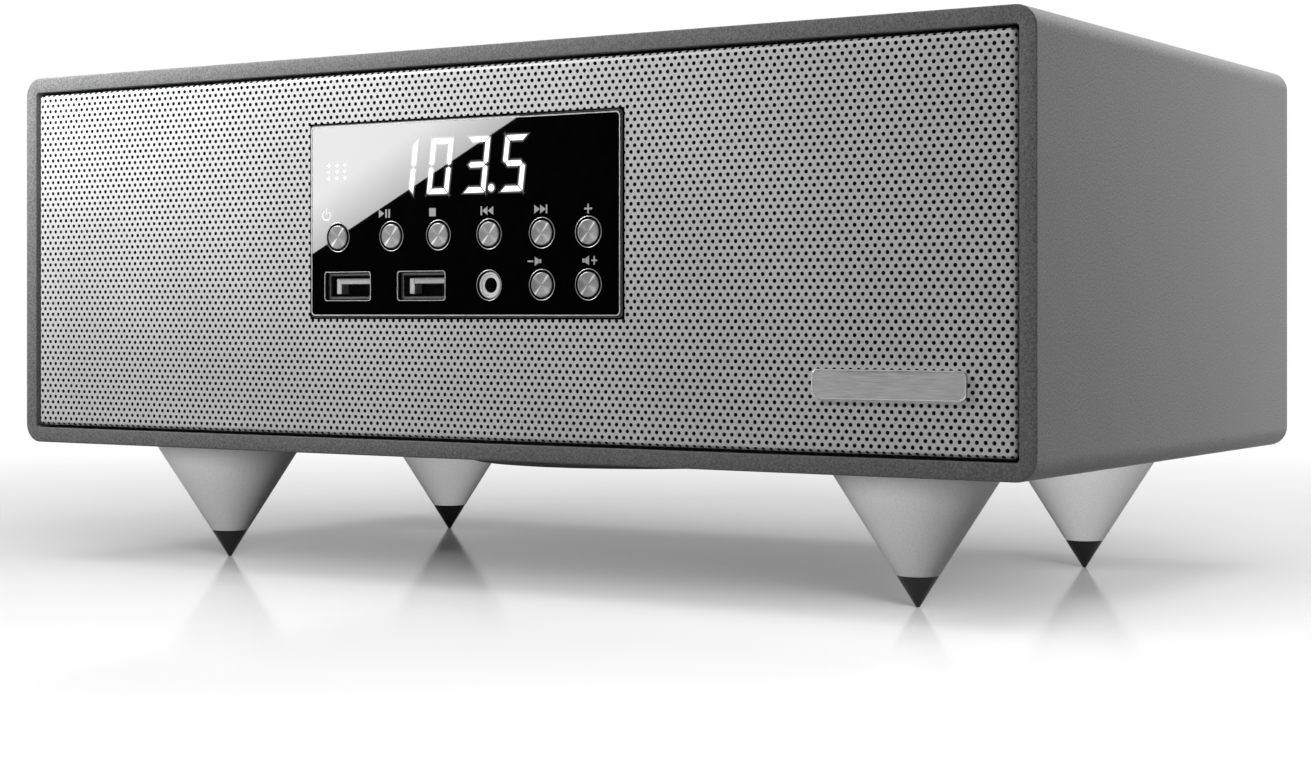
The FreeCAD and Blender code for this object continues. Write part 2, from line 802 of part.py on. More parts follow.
def speaker_cone(size):
    """The paper cone and its dust cap."""
    neck = cone_neck(size)
    rim = size["cone_radius"]
    top = size["seat_level"]
    low = top - size["cone_depth"]
    wall = size["cone_wall"]
    paper = turned((neck, low - wall), (rim, top - wall), (rim, top), (neck, low))
    cap_base = low + (size["dust_cap_radius"] - neck) * size["cone_depth"] / (rim - neck) + glue_gap
    cap = dome(size["dust_cap_radius"], size["dust_cap_height"], cap_base, dust_cap_wall)
    return Part.makeCompound([paper, cap])


def suspension(size):
    """The rolled surround at the cone's rim and the corrugated spider at its neck."""
    seat = size["seat_level"]
    inner = size["cone_radius"] - glue_land
    roll_start = size["cone_radius"]
    roll_end = size["opening_radius"] + surround_sheet
    crown = (roll_start + roll_end) / 2
    rise = (roll_end - roll_start) / 2
    outer = size["seat_radius"] - seat_fit
    top = seat + surround_sheet
    surround = turned(
        (inner, seat),
        (roll_start, seat),
        ((crown, seat + rise), (roll_end, seat)),
        (outer, seat),
        (outer, top),
        (roll_end, top),
        ((crown, top + rise), (roll_start, top)),
        (inner, top),
    )
    return Part.makeCompound([surround, spider(size)])


def spider(size):
    shelf = -size["shelf_level"]
    outside = size["shelf_radius"] - size["basket_wall"] - seat_fit
    flat_end = size["neck_radius"] - seat_fit
    inside = cone_neck(size) + glue_gap
    step = (flat_end - inside) / SPIDER_FOLDS
    folds = []
    for n in range(SPIDER_FOLDS + 1):
        folds.append((flat_end - n * step, shelf + (spider_wave if n % 2 else 0)))
    upper = [(r, z + surround_sheet) for r, z in reversed(folds)]
    return turned((outside, shelf), *folds, *upper, (outside, shelf + surround_sheet))


def facing_front(side):
    """Puts a speaker on the baffle: its mounting plane on the baffle's face, its axis to the front."""
    place = Vector(side * speaker_centre_x, front_plane + grille_rebate_depth, cabinet_mid)
    return FreeCAD.Placement(place, FreeCAD.Rotation(X_AXIS, 90))


def facing_down():
    """Puts the woofer on the cabinet's underside, with its axis down."""
    return FreeCAD.Placement(Vector(0, 0, underside), FreeCAD.Rotation(X_AXIS, 180))


def flange_screws(size):
    """Screws that hold a speaker's flange, in the speaker's own frame."""
    seat = size["flange_thickness"]
    top = seat + screw_head_height
    found = []
    for x, y in speaker_screw_places(size):
        head = post(screw_head_radius, x, y, seat, top)
        found.append(joined([head, post(screw_radius, x, y, seat - screw_length, top)]))
    return found


def woofer_cover():
    """A shallow cup over the woofer, with ring-shaped slots between its spokes."""
    inner = WOOFER["flange_radius"] + cover_fit
    outer = inner + cover_wall
    cup = post(outer, 0, 0, 0, cover_height).cut(post(inner, 0, 0, -overrun, cover_height - cover_mesh))
    cup = cup.makeFillet(cover_mesh, [e for e in cup.Edges if e.BoundBox.ZMin > cover_height - 1e-4])
    slots = []
    start = cover_hub_radius
    while start + cover_slot_width < inner - cover_wall:
        ring = post(start + cover_slot_width, 0, 0, cover_height / 2, cover_height + overrun)
        slots.append(ring.cut(post(start, 0, 0, 0, cover_height + overrun)))
        start += cover_slot_width + cover_rib_width
    spokes = []
    for n in range(COVER_SPOKES // 2):
        bar = brick(2 * outer, cover_rib_width, 0, 0, 0, cover_height + overrun)
        turn = FreeCAD.Placement(Vector(), FreeCAD.Rotation(Z_AXIS, 360 * n / COVER_SPOKES))
        spokes.append(moved(bar, turn))
    cutters = [slot.cut(Part.makeCompound(spokes)) for slot in slots]
    return moved(without(cup, cutters), facing_down())


# ---- rear panel and what it carries; depths here are from the cabinet's front plane ----
panel_out = cabinet_depth - rear_recess
panel_in = panel_out - rear_panel_thickness


def rear_panel():
    width = rebate_width - 2 * rear_panel_gap
    height = rebate_height - 2 * rear_panel_gap
    panel = slab(width, height, 0, cabinet_mid, panel_in, panel_out)
    fit = 2 * panel_cut_fit
    through = (panel_in - overrun, panel_out + overrun)
    cutters = [
        rod(port_radius + port_wall + panel_cut_fit, port_centre_x, cabinet_mid, *through),
        slab(inlet_body_width + fit, inlet_body_height + fit, inlet_centre_x, rear_row, *through),
        slab(rocker_body_width + fit, rocker_body_height + fit, switch_centre_x, rear_row, *through),
        rod(aerial_tail_radius + panel_cut_fit, aerial_centre_x, rear_row, *through),
    ]
    for x, z in rear_screw_places():
        cutters.append(rod(screw_radius + screw_fit, x, z, *through))
    return without(panel, cutters)


def rear_screws():
    found = []
    for x, z in rear_screw_places():
        top = panel_out + screw_head_height
        head = rod(screw_head_radius, x, z, panel_out, top)
        found.append(joined([head, rod(screw_radius, x, z, panel_out - screw_length, top)]))
    return Part.makeCompound(found)


def bass_port():
    place = (port_centre_x, cabinet_mid)
    inner_end = panel_out - port_length
    face = panel_out + port_flange_thickness
    flange = rod(port_flange_radius, *place, panel_out, face)
    tube = rod(port_radius + port_wall, *place, inner_end, face)
    body = joined([flange, tube]).cut(rod(port_radius, *place, inner_end - overrun, face + overrun))
    mouth = [e for e in body.Edges if e.BoundBox.YMin > front_plane + face - 1e-4]
    return body.makeFillet(port_edge_radius, mouth)


def mains_inlet():
    """The socket's insulator and its two pins."""
    place = (inlet_centre_x, rear_row)
    face = panel_out + inlet_flange_thickness
    flange = slab(inlet_flange_width, inlet_flange_height, *place, panel_out, face, inlet_corner_radius)
    body = slab(inlet_body_width, inlet_body_height, *place, panel_out - inlet_body_depth, face)
    mouth_back = face - inlet_mouth_depth
    mouth_end = inlet_mouth_width / 2 - inlet_mouth_height / 2
    cutters = [slab(2 * mouth_end, inlet_mouth_height, *place, mouth_back, face + overrun)]
    pins = []
    for side in (-1, 1):
        x = inlet_centre_x + side * mouth_end
        cutters.append(rod(inlet_mouth_height / 2, x, rear_row, mouth_back, face + overrun))
        pin_x = inlet_centre_x + side * inlet_pin_pitch / 2
        pins.append(rod(inlet_pin_radius, pin_x, rear_row, mouth_back, mouth_back + inlet_pin_length))
    return Part.makeCompound([without(joined([flange, body]), cutters)] + pins)


rocker_face = panel_out + rocker_frame_thickness
rocker_pivot = rocker_face - rocker_pivot_depth


def switch_frame():
    place = (switch_centre_x, rear_row)
    size = (rocker_frame_width, rocker_frame_height)
    bezel = slab(*size, *place, panel_out, rocker_face, rocker_frame_corner_radius)
    body = slab(rocker_body_width, rocker_body_height, *place, panel_out - rocker_body_depth, rocker_face)
    inside = (rocker_body_width - 2 * rocker_wall, rocker_body_height - 2 * rocker_wall)
    well_back = panel_out - rocker_body_depth + rocker_wall
    well = slab(*inside, *place, well_back, rocker_face + overrun)
    reach = rocker_body_height / 2 - rocker_wall + rocker_pin_length + rocker_pin_end_gap
    bearing_radius = rocker_pin_radius + rocker_pin_clearance
    pivot = (switch_centre_x, front_plane + rocker_pivot)
    bearing = post(bearing_radius, *pivot, rear_row - reach, rear_row + reach)
    return without(joined([bezel, body]), [well, bearing])


def power_rocker():
    """The rocker, resting on its off side, with the upright pins that it turns on."""
    swing = rocker_end_rise * math.sin(math.radians(rocker_tilt))
    half_width = rocker_body_width / 2 - rocker_wall - rocker_fit - swing
    half_height = rocker_body_height / 2 - rocker_wall - rocker_fit
    x = switch_centre_x
    y = front_plane + rocker_pivot
    base = rear_row - half_height
    outline = [
        Vector(x - half_width, y - rocker_back, base),
        Vector(x + half_width, y - rocker_back, base),
        Vector(x + half_width, y + rocker_end_rise, base),
        Vector(x, y + rocker_middle_rise, base),
        Vector(x - half_width, y + rocker_end_rise, base),
    ]
    paddle = Part.Face(Part.makePolygon(outline + outline[:1])).extrude(Vector(0, 0, 2 * half_height))
    pin_reach = half_height + rocker_fit + rocker_pin_length
    rocker = joined([paddle, post(rocker_pin_radius, x, y, rear_row - pin_reach, rear_row + pin_reach)])
    rocker.rotate(Vector(x, y, rear_row), Z_AXIS, -rocker_tilt)
    return rocker


def aerial_socket():
    """The coaxial socket's barrel with its flange, and its centre pin."""
    place = (aerial_centre_x, rear_row)
    face = panel_out + aerial_flange_thickness
    end = face + aerial_barrel_length
    barrel = joined([
        rod(aerial_flange_radius, *place, panel_out, face),
        rod(aerial_barrel_radius, *place, panel_out, end),
        rod(aerial_tail_radius, *place, panel_out - aerial_tail_length, face),
    ])
    barrel = barrel.cut(rod(aerial_bore_radius, *place, face, end + overrun))
    return Part.makeCompound([barrel, rod(aerial_pin_radius, *place, face, end - aerial_pin_setback)])


# ---- boards on the cabinet's floor: the power board on the right, the amplifier on the left ----
def main_board(side):
    size = (main_board_width, main_board_length)
    place = (side * main_board_centre_x, main_board_centre_y)
    board = brick(*size, *place, main_board_underside, main_board_top)
    hole = screw_radius + screw_fit
    top = main_board_top + overrun
    return without(board, [post(hole, x, y, 0, top) for x, y in main_board_screw_places(side)])


def board_spacers():
    found = []
    for side in (-1, 1):
        for x, y in main_board_screw_places(side):
            sleeve = post(spacer_radius, x, y, floor_inside, main_board_underside)
            found.append(sleeve.cut(post(screw_radius + screw_fit, x, y, 0, main_board_top)))
    return Part.makeCompound(found)


def board_screws():
    found = []
    for side in (-1, 1):
        for x, y in main_board_screw_places(side):
            top = main_board_top + screw_head_height
            head = post(screw_head_radius, x, y, main_board_top, top)
            shank = post(screw_radius, x, y, floor_inside - main_screw_bite, top)
            found.append(joined([head, shank]))
    return found


def on_board(side, place):
    return (side * main_board_centre_x + place[0], main_board_centre_y + place[1])


def transformer():
    """A ferrite core in two legs, and the winding between them."""
    width, length, height = transformer_size
    x, y = on_board(1, transformer_place)
    core = brick(width, length, x, y, main_board_top, main_board_top + height)
    gap_height = height - 2 * transformer_core_wall
    gap_low = main_board_top + transformer_core_wall
    winding_length = length + 2 * transformer_winding_bulge
    winding = brick(width - 2 * transformer_core_wall, winding_length, x, y, gap_low, gap_low + gap_height)
    upright = [e for e in winding.Edges if abs(e.tangentAt(e.FirstParameter).z) > 0.99]
    winding = winding.makeFillet(transformer_winding_radius, upright)
    gap = brick(width - 2 * transformer_core_wall, length + overrun, x, y, gap_low, gap_low + gap_height)
    return Part.makeCompound([core.cut(gap), winding])


def capacitors():
    found = []
    top = main_board_top + capacitor_height
    for place in CAPACITOR_PLACES:
        can = post(capacitor_radius, *on_board(1, place), main_board_top, top)
        rim = [e for e in can.Edges if e.BoundBox.ZMin > top - 1e-4]
        found.append(can.makeFillet(capacitor_edge_radius, rim))
    return Part.makeCompound(found)


def heat_sink():
    x, y = on_board(-1, heat_sink_place)
    base_top = main_board_top + heat_sink_base
    base = brick(heat_sink_width, heat_sink_length, x, y, main_board_top, base_top)
    pitch = (heat_sink_width - heat_sink_fin) / (HEAT_SINK_FINS - 1)
    fins = []
    for n in range(HEAT_SINK_FINS):
        fin_x = x - heat_sink_width / 2 + heat_sink_fin / 2 + n * pitch
        top = main_board_top + heat_sink_height
        fins.append(brick(heat_sink_fin, heat_sink_length, fin_x, y, main_board_top, top))
    return joined([base] + fins)


def radio_module():
    width, length, height = radio_module_size
    x, y = on_board(-1, radio_module_place)
    return brick(width, length, x, y, main_board_top, main_board_top + height)


# ---- the whole object, as node name to shape ----
def build():
    nodes = {
        "cabinet_shell": cabinet_shell(),
        "front_baffle": baffle(),
        "grille": grille(),
        "grille_foam_strip": foam_strip(),
        "badge_plate": badge(),
        "control_window": control_window(),
        "control_housing": control_housing(),
        "control_board": control_board(),
        "control_screws": control_screws(),
        "led_display": led_display(),
        "nfc_coil": nfc_coil(),
        "tact_switches": Part.makeCompound([tact_switch(*place) for place in BUTTONS.values()]),
        "aux_jack": aux_jack(),
        "rear_panel": rear_panel(),
        "rear_screws": rear_screws(),
        "bass_port": bass_port(),
        "mains_inlet": mains_inlet(),
        "switch_frame": switch_frame(),
        "power_rocker": power_rocker(),
        "aerial_socket": aerial_socket(),
        "power_board": main_board(1),
        "amplifier_board": main_board(-1),
        "board_spacers": board_spacers(),
        "transformer": transformer(),
        "capacitors": capacitors(),
        "heat_sink": heat_sink(),
        "radio_module": radio_module(),
        "woofer_cover": woofer_cover(),
        "foot_tips": Part.makeCompound([foot_tip(x, y) for x, y in foot_places()]),
        "foot_bolts": Part.makeCompound([foot_bolt(x, y) for x, y in foot_places()]),
    }
    for name, x in usb_places().items():
        nodes[name] = usb_socket(x)
    for name, place in BUTTONS.items():
        nodes[name] = button(*place)
    foot_names = ("foot_front_left", "foot_front_right", "foot_rear_left", "foot_rear_right")
    for name, (x, y) in zip(foot_names, foot_places()):
        nodes[name] = foot_cone(x, y)
    speakers = {
        "left_speaker": (FULL_RANGE, facing_front(-1)),
        "right_speaker": (FULL_RANGE, facing_front(1)),
        "woofer": (WOOFER, facing_down()),
    }
    screws = board_screws()
    for name, (size, placement) in speakers.items():
        nodes[name + "_frame"] = moved(speaker_frame(size), placement)
        nodes[name + "_magnet"] = moved(magnet_stack(size), placement)
        nodes[name + "_coil"] = moved(voice_coil(size), placement)
        nodes[name + "_cone"] = moved(speaker_cone(size), placement)
        nodes[name + "_suspension"] = moved(suspension(size), placement)
        screws += [moved(screw, placement) for screw in flange_screws(size)]
    nodes["wood_screws"] = Part.makeCompound(screws)
    return nodes


def main():
    os.makedirs("parts", exist_ok=True)
    for name, shape in build().items():
        for solid in shape.Solids:
            assert solid.isValid() and solid.Volume > 0, name
        shape.exportStep(os.path.join("parts", name + ".step"))


main()
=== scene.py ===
import math
from functools import partial

import bmesh
import bpy
import numpy as np
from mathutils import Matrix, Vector


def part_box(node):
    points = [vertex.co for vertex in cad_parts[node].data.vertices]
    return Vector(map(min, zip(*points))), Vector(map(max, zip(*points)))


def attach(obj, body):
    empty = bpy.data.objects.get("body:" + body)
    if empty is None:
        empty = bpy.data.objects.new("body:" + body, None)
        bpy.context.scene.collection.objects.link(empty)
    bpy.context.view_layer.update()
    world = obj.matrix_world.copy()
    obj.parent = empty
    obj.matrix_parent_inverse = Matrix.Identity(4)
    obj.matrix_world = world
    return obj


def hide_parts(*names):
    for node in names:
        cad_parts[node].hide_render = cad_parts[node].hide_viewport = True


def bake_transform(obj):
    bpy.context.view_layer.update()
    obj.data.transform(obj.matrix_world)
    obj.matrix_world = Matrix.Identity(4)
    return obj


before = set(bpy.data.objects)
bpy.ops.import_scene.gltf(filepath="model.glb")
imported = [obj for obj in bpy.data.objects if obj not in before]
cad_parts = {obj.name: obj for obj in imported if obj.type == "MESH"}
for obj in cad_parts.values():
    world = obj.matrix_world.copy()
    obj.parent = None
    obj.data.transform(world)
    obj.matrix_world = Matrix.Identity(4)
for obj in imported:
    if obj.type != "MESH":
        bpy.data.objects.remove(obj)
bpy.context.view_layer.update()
scene = bpy.context.scene
mm = 0.001
smoothAngle = math.radians(35)  # edges that turn further than this stay sharp


def boxOf(node):
    low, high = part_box(node)
    size = high - low
    return {"low": low, "high": high, "mid": (low + high) / 2, "size": size, "half": (size.x / 2, size.z / 2)}


def linked(name, data):
    thing = bpy.data.objects.new(name, data)
    scene.collection.objects.link(thing)
    return thing


def shaded(mesh, angle=smoothAngle):
    mesh.shade_smooth()
    mesh.set_sharp_from_angle(angle=angle)


def objectFrom(name, bm, materials):
    bmesh.ops.remove_doubles(bm, verts=bm.verts, dist=1e-7)
    bmesh.ops.recalc_face_normals(bm, faces=bm.faces)
    mesh = bpy.data.meshes.new(name)
    bm.to_mesh(mesh)
    bm.free()
    shaded(mesh)
    for material in materials:
        mesh.materials.append(material)
    return linked(name, mesh)


def settle(piece, body, slot, *nodes):
    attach(piece, body)
    if nodes:
        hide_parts(*nodes)


def onCabinet(name, bm, materials, slot, *nodes):
    settle(objectFrom(name, bm, materials), "cabinet", slot, *nodes)


def roundedRect(halfWidth, halfHeight, radius, steps):
    # corner points in order, from the upper right round by the left
    points, x, z = [], halfWidth - radius, halfHeight - radius
    for sideX, sideZ, start in [(1, 1, 0), (-1, 1, 90), (-1, -1, 180), (1, -1, 270)]:
        points += arc(sideX * x, sideZ * z, radius, start, start + 90, steps)
    return points


def arc(centreA, centreB, radius, start, end, steps=4):
    turns = [math.radians(start + (end - start) * k / steps) for k in range(steps + 1)]
    return [(centreA + radius * math.cos(t), centreB + radius * math.sin(t)) for t in turns]


def rectRings(mid, half, corner, steps, places):
    # rounded rectangles about a point, one for each inset and place along Y
    rings = []
    for inset, y in places:
        radius = corner(inset) if callable(corner) else corner
        outline = roundedRect(half[0] - inset, half[1] - inset, radius, steps)
        rings.append([Vector((mid.x + a, y, mid.z + b)) for a, b in outline])
    return rings


def pairsOf(rows, closed):
    return list(zip(rows, rows[1:])) + ([(rows[-1], rows[0])] if closed else [])


def skin(bm, rings, closed=False):
    # joins rings of the same count; an open run gets a face on each end
    loops = [[bm.verts.new(p) for p in ring] for ring in rings]
    count = len(loops[0])
    for a, b in pairsOf(loops, closed):
        for k in range(count):
            n = (k + 1) % count
            bm.faces.new((a[k], a[n], b[n], b[k]))
    if not closed:
        bm.faces.new(loops[0])
        bm.faces.new(loops[-1])
    return bm


def turn(bm, profile, centre, along="Y", steps=48, closed=False):
    # profile is (radius, place along the axis); a radius of 0 closes to a point
    def at(radius, place, k):
        angle = math.tau * k / steps
        a, b = centre[0] + radius * math.cos(angle), centre[1] + radius * math.sin(angle)
        return Vector((a, place, b) if along == "Y" else (a, b, place))

    rows = [[bm.verts.new(at(radius, place, k)) for k in range(1 if radius < 1e-7 else steps)]
            for radius, place in profile]
    for a, b in pairsOf(rows, closed):
        for k in range(steps):
            n = (k + 1) % steps
            corners = [row[i % len(row)] for row, i in ((a, k), (a, n), (b, n), (b, k))]
            corners = list(dict.fromkeys(corners))
            if len(corners) > 2:
                bm.faces.new(corners)
    return bm


def cut(piece, tool):
    # takes the tool's volume out of the piece
    cutter = objectFrom("hole_tool", tool, [])
    modifier = piece.modifiers.new("cut", "BOOLEAN")
    modifier.operation = "DIFFERENCE"
    modifier.solver = "EXACT"
    modifier.object = cutter
    shape = bpy.data.meshes.new_from_object(piece.evaluated_get(bpy.context.evaluated_depsgraph_get()))
    piece.modifiers.clear()
    piece.data = shape
    bpy.data.objects.remove(cutter)
    shaded(shape)


def feed(tree, node, inputs):
    # a value is set on its socket, and another node's output is linked to it
    for key, value in inputs.items():
        if isinstance(value, bpy.types.NodeSocket):
            tree.links.new(value, node.inputs[key])
        else:
            node.inputs[key].default_value = value
    return node


def addNode(tree, kind, inputs=None, **settings):
    node = tree.nodes.new(kind)
    for key, value in settings.items():
        setattr(node, key, value)
    return feed(tree, node, inputs or {})


def calc(tree, operation, a, b=None, clamp=False):
    given = {k: value for k, value in enumerate((a, b)) if value is not None}
    return addNode(tree, "ShaderNodeMath", given, operation=operation, use_clamp=clamp).outputs[0]


def vectorOf(tree, x, y, z):
    return addNode(tree, "ShaderNodeCombineXYZ", {"X": x, "Y": y, "Z": z}).outputs[0]


def newMaterial(name):
    material = bpy.data.materials.new(name)
    material.use_nodes = True
    tree = material.node_tree
    return material, tree, tree.nodes["Principled BSDF"]


def noiseOf(tree, scale, detail, stretch=(1, 1, 1)):
    place = tree.nodes.new("ShaderNodeTexCoord")
    mapping = addNode(tree, "ShaderNodeMapping", {"Scale": stretch, "Vector": place.outputs["Object"]})
    return addNode(tree, "ShaderNodeTexNoise", {"Scale": scale, "Detail": detail,
                                                "Vector": mapping.outputs["Vector"]}).outputs["Fac"]


def spread(tree, value, low, high, fromLow=0.3, fromHigh=0.7):
    return addNode(tree, "ShaderNodeMapRange", {"Value": value, "From Min": fromLow, "From Max": fromHigh,
                                                "To Min": low, "To Max": high}).outputs["Result"]


def mixed(tree, factor, a, b):
    return addNode(tree, "ShaderNodeMix", {"Factor": factor, 6: a, 7: b}, data_type="RGBA").outputs[2]


def relief(tree, height, strength, distance):
    bump = addNode(tree, "ShaderNodeBump", {"Strength": strength, "Distance": distance, "Height": height})
    return bump.outputs["Normal"]


def grey(value):
    return (value, value, value, 1)


def finish(name, dark, light, grain=2500, rough=(0.4, 0.55), metallic=0.0, bump=0.1, bumpDepth=0.05,
           stretch=(1, 1, 1), patchShare=0.12, specular=0.5):
    # grain is the small pattern, per metre of the object; patchShare is how far the broad one darkens
    look = {"patch": 25, "contrast": (0.35, 0.65), "ior": 1.5}
    material, tree, shader = newMaterial(name)
    tones = [grey(tone) if isinstance(tone, float) else tone for tone in (dark, light)]
    worn = [tuple(c * (1 - patchShare) for c in tone[:3]) + (1,) for tone in tones]
    fine, broad = noiseOf(tree, grain, 3, stretch), noiseOf(tree, look["patch"], 2)
    share = spread(tree, fine, 0, 1, *look["contrast"])
    colour = mixed(tree, spread(tree, broad, 0, 1), mixed(tree, share, *tones), mixed(tree, share, *worn))
    feed(tree, shader, {"Base Color": colour, "Roughness": spread(tree, fine, *rough), "Metallic": metallic,
                        "IOR": look["ior"], "Specular IOR Level": specular,
                        "Normal": relief(tree, fine, bump, bumpDepth * mm)})
    return material


cabinetPaint = finish("cabinetPaint", 0.16, 0.32, grain=2300, rough=(0.45, 0.6), bump=0.2, bumpDepth=0.06,
                      patchShare=0.04, specular=0.22)
rawBoard = finish("rawBoard", (0.20, 0.13, 0.07, 1), (0.34, 0.24, 0.14, 1), grain=1800, rough=(0.8, 0.95),
                  bump=0.4, bumpDepth=0.1)
grillePaint = finish("grillePaint", 0.80, 0.88, grain=1500, rough=(0.38, 0.5), metallic=0.1, bump=0.1,
                     bumpDepth=0.02)
# painted shade: near black for the grille's hole walls and the back of its sheet, standing for the shade in
# the holes
holeShade = finish("holeShade", 0.006, 0.012, grain=1500, rough=(0.7, 0.9), bump=0.1)
blackGloss = finish("blackGloss", 0.002, 0.003, grain=300, rough=(0.006, 0.012), bump=0.0)
windowEdge = finish("windowEdge", 0.30, 0.42, grain=900, rough=(0.32, 0.42), metallic=1.0)
plated = finish("plated", 0.55, 0.72, grain=1400, rough=(0.22, 0.34), metallic=1.0)
platedDull = finish("platedDull", 0.07, 0.11, grain=1400, rough=(0.35, 0.5), metallic=1.0)
blackPlastic = finish("blackPlastic", 0.012, 0.022, grain=3500, rough=(0.45, 0.6), bump=0.3)
darkFoam = finish("darkFoam", 0.006, 0.02, grain=2200, rough=(0.9, 1.0), bump=0.8, bumpDepth=0.3)
footPaint = finish("footPaint", 0.60, 0.68, grain=2600, rough=(0.32, 0.45), bump=0.2, bumpDepth=0.03)
tipBlack = finish("tipBlack", 0.004, 0.008, grain=600, rough=(0.1, 0.16), bump=0.05)
brushedPlate = finish("brushedPlate", 0.40, 0.52, grain=5000, rough=(0.3, 0.38), metallic=1.0,
                      stretch=(0.05, 1, 1), bump=0.2, bumpDepth=0.02)
boardGreen = finish("boardGreen", (0.01, 0.06, 0.02, 1), (0.02, 0.10, 0.03, 1), grain=500, rough=(0.3, 0.45))
steelScrew = finish("steelScrew", 0.3, 0.45, grain=1800, rough=(0.3, 0.42), metallic=1.0)
brassSpacer = finish("brassSpacer", (0.45, 0.32, 0.10, 1), (0.62, 0.45, 0.16, 1), grain=1500,
                     rough=(0.3, 0.4), metallic=1.0)
canMetal = finish("canMetal", 0.5, 0.65, grain=1200, rough=(0.3, 0.45), metallic=1.0)
speakerSteel = finish("speakerSteel", 0.03, 0.06, grain=1800, rough=(0.4, 0.55), bump=0.2)
coilCopper = finish("coilCopper", (0.40, 0.16, 0.07, 1), (0.60, 0.27, 0.12, 1), grain=3000,
                    rough=(0.3, 0.45), metallic=1.0)
conePaper = finish("conePaper", 0.012, 0.03, grain=3000, rough=(0.8, 0.95), bump=0.5, bumpDepth=0.1)
coverPaint = finish("coverPaint", 0.02, 0.04, grain=2400, rough=(0.4, 0.55), bump=0.3)
rockerGloss = finish("rockerGloss", 0.006, 0.012, grain=800, rough=(0.15, 0.25), bump=0.05)
satinCollar = finish("satinCollar", 0.48, 0.58, grain=1400, rough=(0.4, 0.5), metallic=0.9)
springSteel = finish("springSteel", 0.45, 0.6, grain=1400, rough=(0.35, 0.45), metallic=0.6)
spiderCloth = finish("spiderCloth", (0.30, 0.20, 0.08, 1), (0.44, 0.32, 0.15, 1), grain=1400,
                     rough=(0.8, 0.95), bump=0.6, bumpDepth=0.1)
surroundRubber = finish("surroundRubber", 0.01, 0.02, grain=1500, rough=(0.5, 0.65), bump=0.2)

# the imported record's slot for each finish, for the CAD nodes that stay
slotFinish = {
    "cabinet_paint": cabinetPaint, "raw_board": rawBoard, "grille_paint": grillePaint, "foam": darkFoam,
    "brushed_plate": brushedPlate, "black_gloss": blackGloss, "black_plastic": blackPlastic,
    "circuit_board": boardGreen, "screw_steel": steelScrew, "plated_metal": plated,
    "spacer_brass": brassSpacer, "can_metal": canMetal, "foot_paint": footPaint, "tip_black": tipBlack,
    "speaker_steel": speakerSteel, "coil_copper": coilCopper, "speaker_cone": conePaper,
    "speaker_rubber": surroundRubber,
}
unmatched = set()
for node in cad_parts.values():
    for place in node.material_slots:
        slotName = place.material.name if place.material else ""
        if slotName in slotFinish:
            place.material = slotFinish[slotName]
        else:
            unmatched.add(slotName)
# painted shade: the baffle and the control housing take the dark foam in place of their own finish, so that
# what shows of them behind the grille reads black
for node in ("front_baffle", "control_housing"):
    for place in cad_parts[node].material_slots:
        place.material = darkFoam
print("finishes ready, slots left:", sorted(unmatched))

cameraLook = {"place": (0.3442, -0.5361, 0.0677), "lens": 64.30, "turn": 32.482, "shiftY": -0.0513}
cameraData = bpy.data.cameras.new("camera")
cameraData.lens = cameraLook["lens"]
cameraData.sensor_width = 36
cameraData.shift_y = cameraLook["shiftY"]
cameraData.clip_start = 0.01
camera = linked("camera", cameraData)
camera.location = cameraLook["place"]
camera.rotation_euler = (math.radians(90), 0, math.radians(cameraLook["turn"]))
scene.camera = camera


def makeCabinet():
    look = {"corner": 5 * mm, "leastCorner": 1.0 * mm, "edge": 0.4 * mm, "lip": 4 * mm, "wall": 9 * mm,
            "frontRebate": 8 * mm, "rearRebate": 14 * mm, "cornerSteps": 10, "wooferHole": 41.4 * mm,
            "holeBelow": 1 * mm, "holeAbove": 12 * mm}
    box = boxOf("cabinet_shell")
    front, rear = box["low"].y, box["high"].y
    edge, lip, wall = look["edge"], look["lip"], look["wall"]
    places = arc(edge, front + edge, edge, 270, 180) + arc(edge, rear - edge, edge, 180, 90)
    places += arc(lip - edge / 2, rear - edge / 2, edge / 2, 90, 0, 3)
    places += [(lip, rear - look["rearRebate"]), (wall, rear - look["rearRebate"]),
               (wall, front + look["frontRebate"]), (lip, front + look["frontRebate"])]
    places += arc(lip - edge / 2, front + edge / 2, edge / 2, 0, -90, 3)

    def corner(inset):
        return max(look["corner"] - inset, look["leastCorner"])

    rings = rectRings(box["mid"], box["half"], corner, look["cornerSteps"], places)
    shell = objectFrom("cabinet_shell_painted", skin(bmesh.new(), rings, closed=True), [cabinetPaint])
    radius, low, high = look["wooferHole"], box["low"].z - look["holeBelow"], box["low"].z + look["holeAbove"]
    cut(shell, turn(bmesh.new(), [(0, low), (radius, low), (radius, high), (0, high)], (0, 0), "Z", 96))
    settle(shell, "cabinet", "cabinet_paint", "cabinet_shell")


makeCabinet()
print("cabinet made")


def startTree(name, output, inputs):
    # an empty Geometry Nodes group, the identifiers of its named inputs, and their sockets inside
    tree = bpy.data.node_groups.new(name, "GeometryNodeTree")
    tree.interface.new_socket(output, in_out="OUTPUT", socket_type="NodeSocketGeometry")
    wanted = {}
    for title, kind in inputs.items():
        socket = tree.interface.new_socket(title, in_out="INPUT", socket_type="NodeSocket" + kind)
        wanted[title] = socket.identifier
    return tree, wanted, tree.nodes.new("NodeGroupInput").outputs


def setOut(tree, points, shape):
    # a copy of the shape on every point, made real
    spots = addNode(tree, "GeometryNodeInstanceOnPoints", {"Points": points, "Instance": shape})
    real = addNode(tree, "GeometryNodeRealizeInstances", {"Geometry": spots.outputs["Instances"]})
    return spots, real.outputs["Geometry"]


def endTree(tree, shape, material):
    paint = addNode(tree, "GeometryNodeSetMaterial", {"Geometry": shape, "Material": material})
    feed(tree, tree.nodes.new("NodeGroupOutput"), {0: paint.outputs["Geometry"]})


